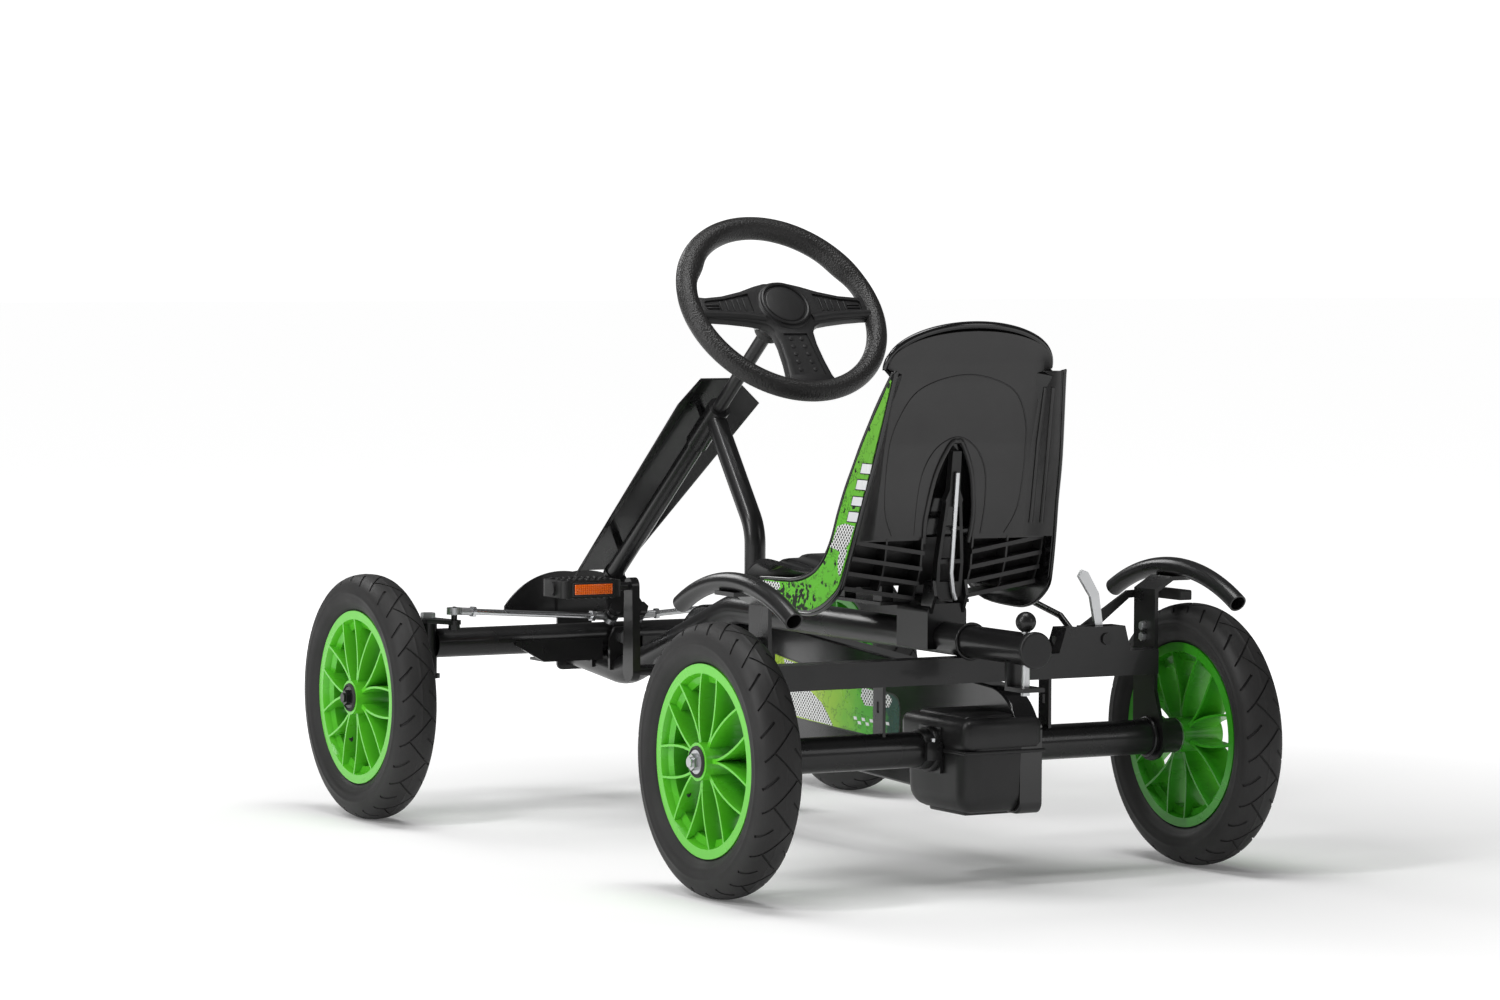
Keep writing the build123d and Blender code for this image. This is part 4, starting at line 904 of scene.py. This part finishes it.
def dome_half(z, top):
    """Half the width of the back's domed outline at a height."""
    if z < 606:
        return at_height([(405, 133), (412, 108), (440, 105), (600, 104), (606, 113)], z)
    rise = (z - 606) / (top - 606)
    return 113 * math.sqrt(max(0.0, 1 - rise ** 2.3))


BACK_SEAMS = [
    [(-78, 408), (-92, 440), (-95, 500), (-88, 545), (-62, 582), (0, 598), (62, 582), (88, 545), (95, 500),
     (92, 440), (78, 408)],
    [(-46, 408), (-47, 450), (-42, 486), (-26, 512), (0, 524), (26, 512), (42, 486), (47, 450), (46, 408)],
]
WING_BACK = [(342, -394), (362, -404), (405, -418), (447, -430), (500, -447), (603, -471)]
LOWER_WALL = [(-384, 404), (-378, 384), (-371, 366), (-362, 346), (-356, 346), (-366, 366), (-373, 384),
              (-379, 404)]
SHELVES = [(403, -402, -372, 134), (384, -397, -360, 135), (366, -390, -350, 136), (348, -380, -344, 137)]


def make_back():
    """The rear shell of the back: domed panel, slanting webs, sunk outline, lever arch and lower ribs."""
    def panel_place(u, v):
        top = 650
        z = 402 + (top - 402) * (1 - (1 - v) ** 1.35)
        half = dome_half(z, top)
        y = (2 * u - 1) * half
        hollow = 5.0 * (1 - (y / 110) ** 2) * min(1.0, (top - z) / 60)
        return Vector((back_x(z) + hollow, y, z)) / 1000
    panel = moulded_sheet("back_panel", 64, 90, panel_place)
    tidy_faces(panel)
    change(panel, "SOLIDIFY", thickness=0.003, offset=0.0)
    slot_edge = flowed([(-31, 398), (-33, 430), (-25, 480), (-9, 515), (0, 519), (9, 515), (25, 480),
                        (33, 430), (31, 398)], 5)
    carve(panel, [plate("slot", slot_edge, lambda a, b, lift: Vector((lift, a, b)) / 1000, -480, -380)])
    parts = [panel]

    def on_back(y, z, lift=0.0):
        hollow = 5.0 * (1 - (y / 110) ** 2) * min(1.0, (650 - z) / 60)
        return Vector((back_x(z) + hollow - 1.5 - lift, y, z)) / 1000
    for line in BACK_SEAMS:
        parts.append(bar_along("seam", [on_back(y, z) for y, z in flowed(line, 8)], 0.0009, sides=2))
    parts.append(bar_along("lip", [on_back(y, z, -0.6) for y, z in slot_edge], 0.0034, sides=3))
    for side in (1, -1):
        def web_place(u, v, side=side):
            z = 404 + 198 * v
            rear = at_height(WING_BACK, z)
            bend = u * u * (3 - 2 * u)
            x = back_x(z) + 1 + (rear + 1.0 - back_x(z) - 1) * (0.35 * u + 0.65 * bend)
            y = 101 + (wing_half(z) - 4.5 - 101) * u
            return Vector((x, side * y, z)) / 1000
        web = moulded_sheet("web", 14, 60, web_place)
        change(web, "SOLIDIFY", thickness=0.0026, offset=0.0)
        parts.append(web)
        if side < 0:
            for lateral in (0.30, 0.62):
                ridge = [web_place(lateral, (16 + step * 12.5) / 198) + Vector((-0.0005, 0, 0))
                         for step in range(14)]
                parts.append(bar_along("ridge", ridge, 0.0030, sides=3))
    for z, x0, x1, half in SHELVES:
        for side in (1, -1):
            strip = [(side * 33, z - 19), (side * half, z - 3), (side * half, z + 2), (side * 33, z - 14)]
            parts.append(plate("shelf", strip, lambda a, b, lift: Vector((lift, a, b)) / 1000, x0, x1))
    for y in (-134, -84, -35, 35, 84, 134):
        fall = 0.16 * (134 - abs(y))
        rib = [(-401, 404), (-396, 384 - fall), (-389, 366 - fall), (-379, 348 - fall), (-345, 348 - fall),
               (-350, 366 - fall), (-372, 404)]
        parts.append(plate("rib", rib, lambda a, b, lift, y=y: Vector((a, y + lift, b)) / 1000, -1.2, 1.2))
    parts.append(plate("lower_wall", LOWER_WALL, lambda a, b, lift: Vector((a, lift, b)) / 1000, -135, 135))
    whole = joined(parts)
    finish_piece(whole, "seat_back_cover", "seat", BACK_PLASTIC, ("seat_back_shell",), 32)


FRONT_LINE = [(-457, 655), (-441, 612), (-428, 565), (-411, 515), (-397, 470), (-385, 430), (-374, 395),
              (-362, 374), (-344, 363), (-315, 359), (-280, 360), (-240, 364), (-212, 365), (-190, 360),
              (-176, 350), (-172, 338)]


def make_bucket():
    """The bucket's inner skin: back rest, pan with stepped ridges, and a rolled top edge."""
    line = flowed(FRONT_LINE, 8)
    last = len(line) - 1

    def skin(u, v):
        x, z = line[min(last, round(v * last))]
        near = line[max(0, round(v * last) - 1)]
        past = line[min(last, round(v * last) + 1)]
        run = Vector((past[0] - near[0], past[1] - near[1])).normalized()
        out = Vector((-run.y, run.x))
        across = 2 * u - 1
        if z > 606 and x < -400:
            half = dome_half(min(z, 656.5), 657.5)
            lift = 0.0
        else:
            half = min(wing_half(z) - 4.0, 143)
            sweep = at_height([(395, 15), (430, 12), (470, 6), (515, -4), (565, -17), (606, -29)], z)
            lift = sweep * max(0.0, (abs(across) - 0.62) / 0.38) ** 2
            if x > -345:
                lift = 5.0 * max(0.0, (abs(across) - 0.86) / 0.14) ** 2
                front = min(1.0, (x + 345) / 30) * min(1.0, max(0.0, (-182 - x) / 20))
                for edge in (0.80, 0.60):
                    lift += 4.6 * front / (1 + math.exp((abs(across) - edge) / 0.012))
        return Vector((x + out.x * lift, across * half, z + out.y * lift)) / 1000
    inner = moulded_sheet("bucket", 72, last, skin)
    tidy_faces(inner)
    change(inner, "SOLIDIFY", thickness=0.004, offset=0.0)
    rim = []
    for step in range(61):
        turn = math.pi * step / 60
        z = 606 + 51 * math.sin(turn) ** 0.9 if 0 < step < 60 else 606
        y = -113 * math.cos(turn)
        rim.append(Vector((back_x(z) + 5, y, z)) / 1000)
    edge = bar_along("rolled_edge", rim, 0.0042, sides=4)
    dome = moulded_sheet("dome", 60, 4, dome_band)
    change(dome, "SOLIDIFY", thickness=0.003, offset=0.0)
    finish_piece(joined([inner, edge, dome]), "seat_bucket", "seat", gloss_black, (), 40)


def dome_band(u, v):
    """The band that joins the front skin to the rear shell round the domed top."""
    turn = math.pi * u
    z = 604 + 50.5 * math.sin(turn) ** 0.9 if 0 < u < 1 else 604
    y = -113.5 * math.cos(turn)
    return Vector((back_x(z) + 1 + 9 * v, y * (1 - 0.004 * v), z)) / 1000


PRINT_GREEN = print_green()
BACK_PLASTIC = plain_finish("seat_back_plastic", (0.012, 0.0115, 0.012), 0.3, 0.4, 1300.0, 0.25, 0.0003,
                            amount=0.08)
make_wings()
make_back()
make_bucket()


# ---------------------------------------------------------------- chain case print and gear case
def on_case(side):
    """Carries side view points onto a face of the chain case, lifted outwards."""
    face = -34 if side > 0 else -64

    def carried(x, z, lift):
        return Vector((x, face + side * lift, z)) / 1000
    return carried


def case_green():
    """The chain case's print: dark teal at the rear, then green, then yellow-green, with torn edges."""
    made = Finish("case_print_green", coat=0.3, specular=0.4)
    axes = made.axes()
    torn = made.torn(34.0, 9.0, 0.7)
    shift = made.number("MULTIPLY", made.number("SUBTRACT", torn, 0.5), 0.09)
    along = made.number("ADD", axes["X"], shift)
    body = made.mixed(made.ramp(along, -0.214, -0.190), (0.006, 0.05, 0.04), (0.07, 0.38, 0.03))
    body = made.mixed(made.ramp(along, -0.15, -0.03), body, (0.36, 0.55, 0.03))
    crack = made.crack(torn, 0.47, 0.006)
    made.dusty(made.mixed(crack, body, (0.02, 0.05, 0.012)), (0.3, 0.32, 0.28), 0.04)
    made.printed()
    return made.material


CASE_FACE = [(-238, 166), (-236, 154), (-228, 147), (-216, 145.5), (-120, 148), (0, 152), (66, 156),
             (66, 228), (40, 225), (-60, 214), (-150, 205), (-222, 200), (-233, 196), (-238, 186)]


def make_case_print():
    """The printed sheet on both faces of the chain case, with its dotted fields and dashes."""
    green = case_green()
    for side, name in ((1, "inner"), (-1, "outer")):
        grown = [(x + (-2 if x < -200 else 2), z + (2 if z > 180 else -2)) for x, z in CASE_FACE]
        border = plate("border", grown, on_case(side), -0.4, 0.25)
        finish_piece(border, "case_border_" + name, "frame", ink_black)
        finish_piece(plate("face", CASE_FACE, on_case(side), -0.3, 0.4), "case_print_" + name, "frame", green)
        dotted = [[(-213, 184), (-156, 182), (-146, 192), (-150, 204), (-213, 200), (-222, 194)],
                  [(-80, 149.6), (52, 156), (52, 186), (-20, 190), (-52, 176), (-66, 164)],
                  [(-20, 203), (34, 201), (44, 224), (-8, 218)]]
        for index, corners in enumerate(dotted):
            finish_piece(plate("dots", corners, on_case(side), 0.3, 0.5), "case_dots_%s_%d" % (name, index),
                         "frame", dots_fine)
        dashes = []
        for index in range(9):
            x = -215 + index * 9.6
            z = 157.5 if index % 2 else 162.5
            dashes.append(plate("dash", [(x, z), (x + 7.5, z), (x + 9, z + 3.8), (x + 1.5, z + 3.8)],
                                on_case(side), 0.3, 0.56))
        finish_piece(joined(dashes), "case_dashes_" + name, "frame", ink_white)


def make_gear_case():
    """The gear case: a deep rounded tub with a lid, its seam step and two side collars."""
    tub = plate("tub", [(-0.5, -0.5), (0.5, -0.5), (0.5, 0.5), (-0.5, 0.5)],
                lambda a, b, lift: Vector((-438 + 144 * a, -11.8 + 108 * b, lift)) / 1000, 86, 196)
    change(tub, "BEVEL", width=0.024, segments=6, limit_method="ANGLE")
    for vertex in tub.data.vertices:
        depth = max(0.0, (0.165 - vertex.co.z) / 0.08)
        vertex.co.x = -0.438 + (vertex.co.x + 0.438) * (1 - 0.05 * depth)
        vertex.co.y = -0.0118 + (vertex.co.y + 0.0118) * (1 - 0.05 * depth)
    tidy_faces(tub, 0.0001)
    foot = rounded_block("foot", (-478, -46, 82.5), (-398, 22, 92), 2.5)
    tub = joined([tub, foot])
    finish_piece(tub, "gear_case_tub", "frame", moulded_black, ("gear_case_lower",), 45)
    lid = rounded_block("lid", (-511.5, -67, 158.5), (-364.5, 43.5, 198), 11)
    lip = rounded_block("lip", (-512.5, -68, 157), (-363.5, 44.5, 161.5), 2)
    crown = rounded_block("crown", (-492, -60, 190), (-384, 30, 201.5), 5)
    finish_piece(joined([lid, lip, crown]), "gear_case_lid", "frame", moulded_black,
                 ("gear_case_upper",), 45)
    collars = [drum("collar", (-437, 43, 159), (0, 1, 0), 27, 9, 2.0),
               drum("collar", (-437, 50, 159), (0, 1, 0), 23.5, 14, 1.5),
               drum("collar", (-437, -66, 159), (0, -1, 0), 25, 8, 2.0)]
    finish_piece(joined(collars), "gear_case_collars", "frame", moulded_black, (), 45)


make_case_print()
make_gear_case()


# ---------------------------------------------------------------- rims, hub seals, valves and small fittings
def rim_finish(name, plane):
    """Bright green plastic, with painted shade: a darker green behind the wheel's outer face, where the rim's
    deep parts lie.
    """
    made = Finish(name, coat=0.25, specular=0.4)
    axes = made.axes()
    out = made.number("ABSOLUTE", axes["Y"], None)
    # Painted shade: the green darkens with depth behind the outer face, standing in for the shade in the
    # rim's recesses.
    colour = made.mixed(made.ramp(out, plane - 0.012, plane + 0.019), (0.028, 0.30, 0.006),
                        (0.115, 0.60, 0.022))
    made.dusty(colour, (0.28, 0.45, 0.2), 0.05)
    made.shiny(0.22, 0.34)
    relief = made.placed(GRAIN, Size=420.0)
    made.bump(relief.outputs["Height"], 0.10, 0.0004)
    return made.material


def make_wheel_fittings():
    """Each wheel's black hub seal and rubber valve."""
    for name, (centre, side, body, phase) in WHEELS.items():
        place = (Matrix.Translation(centre) @ Matrix.Scale(side, 4, (0, 1, 0))
                 @ Matrix.Rotation(math.radians(-phase), 4, "Y"))
        seal = turned_ring("seal", [(27.6, 14.4), (30.8, 14.8), (31.2, 16.2), (29.8, 18.0), (27.6, 18.6)], 48)
        turn = math.radians(146.3)
        way = (-26 * math.cos(turn), 10, -26 * math.sin(turn))
        root = (92 * math.cos(turn), 1.6, 92 * math.sin(turn))
        stem = drum("stem", root, way, 5.2, 15, 1.2, sides=28, top=4.0)
        tip = Vector(root) + Vector(way).normalized() * 14
        cap = drum("cap", tip, way, 4.3, 17, 0.8, sides=18)
        fitting = joined([seal, stem, cap])
        fitting.data.transform(place)
        if side < 0:
            fitting.data.flip_normals()
        finish_piece(fitting, "hub_seal_" + name, body, soft_rubber)


def reflector_finish():
    """Orange reflector plastic with small prisms."""
    made = Finish("reflector_orange", coat=0.6)
    prisms = made.node("ShaderNodeTexVoronoi")
    prisms.distance = "MANHATTAN"
    prisms.inputs["Scale"].default_value = 330.0
    prisms.inputs["Randomness"].default_value = 0.0
    made.join(made.place, prisms.inputs["Vector"])
    orange = made.mixed(prisms.outputs["Distance"], (1.0, 0.22, 0.01), (0.75, 0.09, 0.0))
    made.dusty(orange, (0.5, 0.3, 0.1), 0.05)
    made.shiny(0.12, 0.2)
    made.bump(prisms.outputs["Distance"], 0.8, 0.001)
    return made.material


def make_reflectors():
    """Framed reflectors on the front and back faces of both pedals."""
    orange = reflector_finish()
    for name, side, z in (("left", 1, 306), ("right", -1, 86)):
        frames = []
        lenses = []
        for way in (-1, 1):
            x0, x1 = sorted((252 + way * 29, 252 + way * 32))
            y0, y1 = sorted((side * 116, side * 176))
            frames.append(rounded_block("frame", (x0, y0, z - 9), (x1, y1, z + 9), 1.2))
            x0, x1 = sorted((252 + way * 31, 252 + way * 33))
            lenses.append(rounded_block("lens", (x0, y0 + 3, z - 6.5), (x1, y1 - 3, z + 6.5), 0.8))
        treads = []
        for x in (-26, -9, 3, 20):
            for y in range(112, 180, 9):
                y0, y1 = sorted((side * y, side * (y + 5)))
                for z0 in (z - 12.4, z + 10.6):
                    treads.append(rounded_block("tread", (252 + x, y0, z0), (252 + x + 6, y1, z0 + 1.8), 0.5))
        finish_piece(joined(frames + treads), "pedal_frame_" + name, "pedal_" + name, moulded_black)
        finish_piece(joined(lenses), "pedal_reflector_" + name, "pedal_" + name, orange)


END_RING = [(299, 14.6), (303.4, 14.6), (303.4, 19.4), (302.4, 20.4), (299, 20.4)]


def weld_run(radius, wave, onto):
    """A closed bead of weld round a tube end; onto(u, v) carries its circle to its place."""
    run = []
    for step in range(40):
        turn = 2 * math.pi * step / 40
        reach = radius + wave * math.sin(step * 2.6)
        run.append(onto(reach * math.cos(turn), reach * math.sin(turn)))
    return bar_along("weld", run, 0.0022, closed=True, sides=3)


def make_frame_fittings():
    """Zinc end rings of the axle tubes, and weld beads."""
    rings = []
    for side in (1, -1):
        ring = turned_ring("end_ring", END_RING, 56, (-0.437, 0, 0.159))
        rings.append(to_side(ring, side, (0, 1, 0)))
    finish_piece(joined(rings), "axle_end_rings", "frame", zinc_plate)
    beads = []
    for side in (1, -1):
        beads.append(weld_run(0.0222, 0.00035,
                              lambda u, v, side=side: Vector((-0.437 + u, side * 0.2602, 0.159 + v))))
    beads.append(weld_run(0.0205, 0.0, lambda u, v: Vector((-0.4543, u, 0.285 + v))))
    finish_piece(joined(beads), "weld_beads", "frame", powder_coat)


def two_part_finish(name, where):
    """Zinc plate where a test on the place says so, and black elsewhere."""
    made = Finish(name, specular=0.4)
    axes = made.axes()
    mask = where(made, axes)
    made.dusty(made.mixed(mask, (0.008, 0.008, 0.0085), (0.62, 0.63, 0.64)), (0.16, 0.155, 0.15), 0.06)
    made.join(mask, made.shader.inputs["Metallic"])
    made.shiny(0.26, 0.4)
    relief = made.placed(GRAIN, Size=800.0)
    made.bump(relief.outputs["Height"], 0.2, 0.0003)
    return made.material


def bolt_heads(made, axes):
    return made.number("GREATER_THAN", made.number("ABSOLUTE", axes["Y"], None), 0.0151)


def below_ball(made, axes):
    return made.number("LESS_THAN", axes["Z"], 0.3052)


def flat_lever(made, axes):
    away = made.number("ABSOLUTE", made.number("ADD", axes["X"], 0.4405), None)
    near = made.number("LESS_THAN", away, 0.0032)
    return made.number("MULTIPLY", near, made.number("GREATER_THAN", axes["Z"], 0.290))


RIM_FINISH = {"rear": rim_finish("rear_rim_green", 0.330), "front": rim_finish("front_rim_green", 0.360)}
SPECIAL = {"steering_shaft": two_part_finish("steering_shaft_black", bolt_heads),
           "hitch_pin": two_part_finish("hitch_pin_zinc", below_ball),
           "brake_lever": two_part_finish("brake_lever_zinc", flat_lever)}
make_wheel_fittings()
make_reflectors()
make_frame_fittings()


# ---------------------------------------------------------------- finishes of the metal and plastic pieces
NODE_FINISH = {"powder_coat": powder_coat, "zinc": zinc_plate, "chrome": chrome_plate,
               "black_plastic": moulded_black, "gloss_shell": gloss_black, "rubber": soft_rubber}
for part in frame["record"]["subparts"]:
    name = part["node"]
    finish = SPECIAL.get(name) or NODE_FINISH.get(part["material_slot"])
    if part["material_slot"] == "rim_green":
        finish = RIM_FINISH[name.split("_")[1]]
    if finish:
        nodes[name].data.materials.clear()
        nodes[name].data.materials.append(finish)
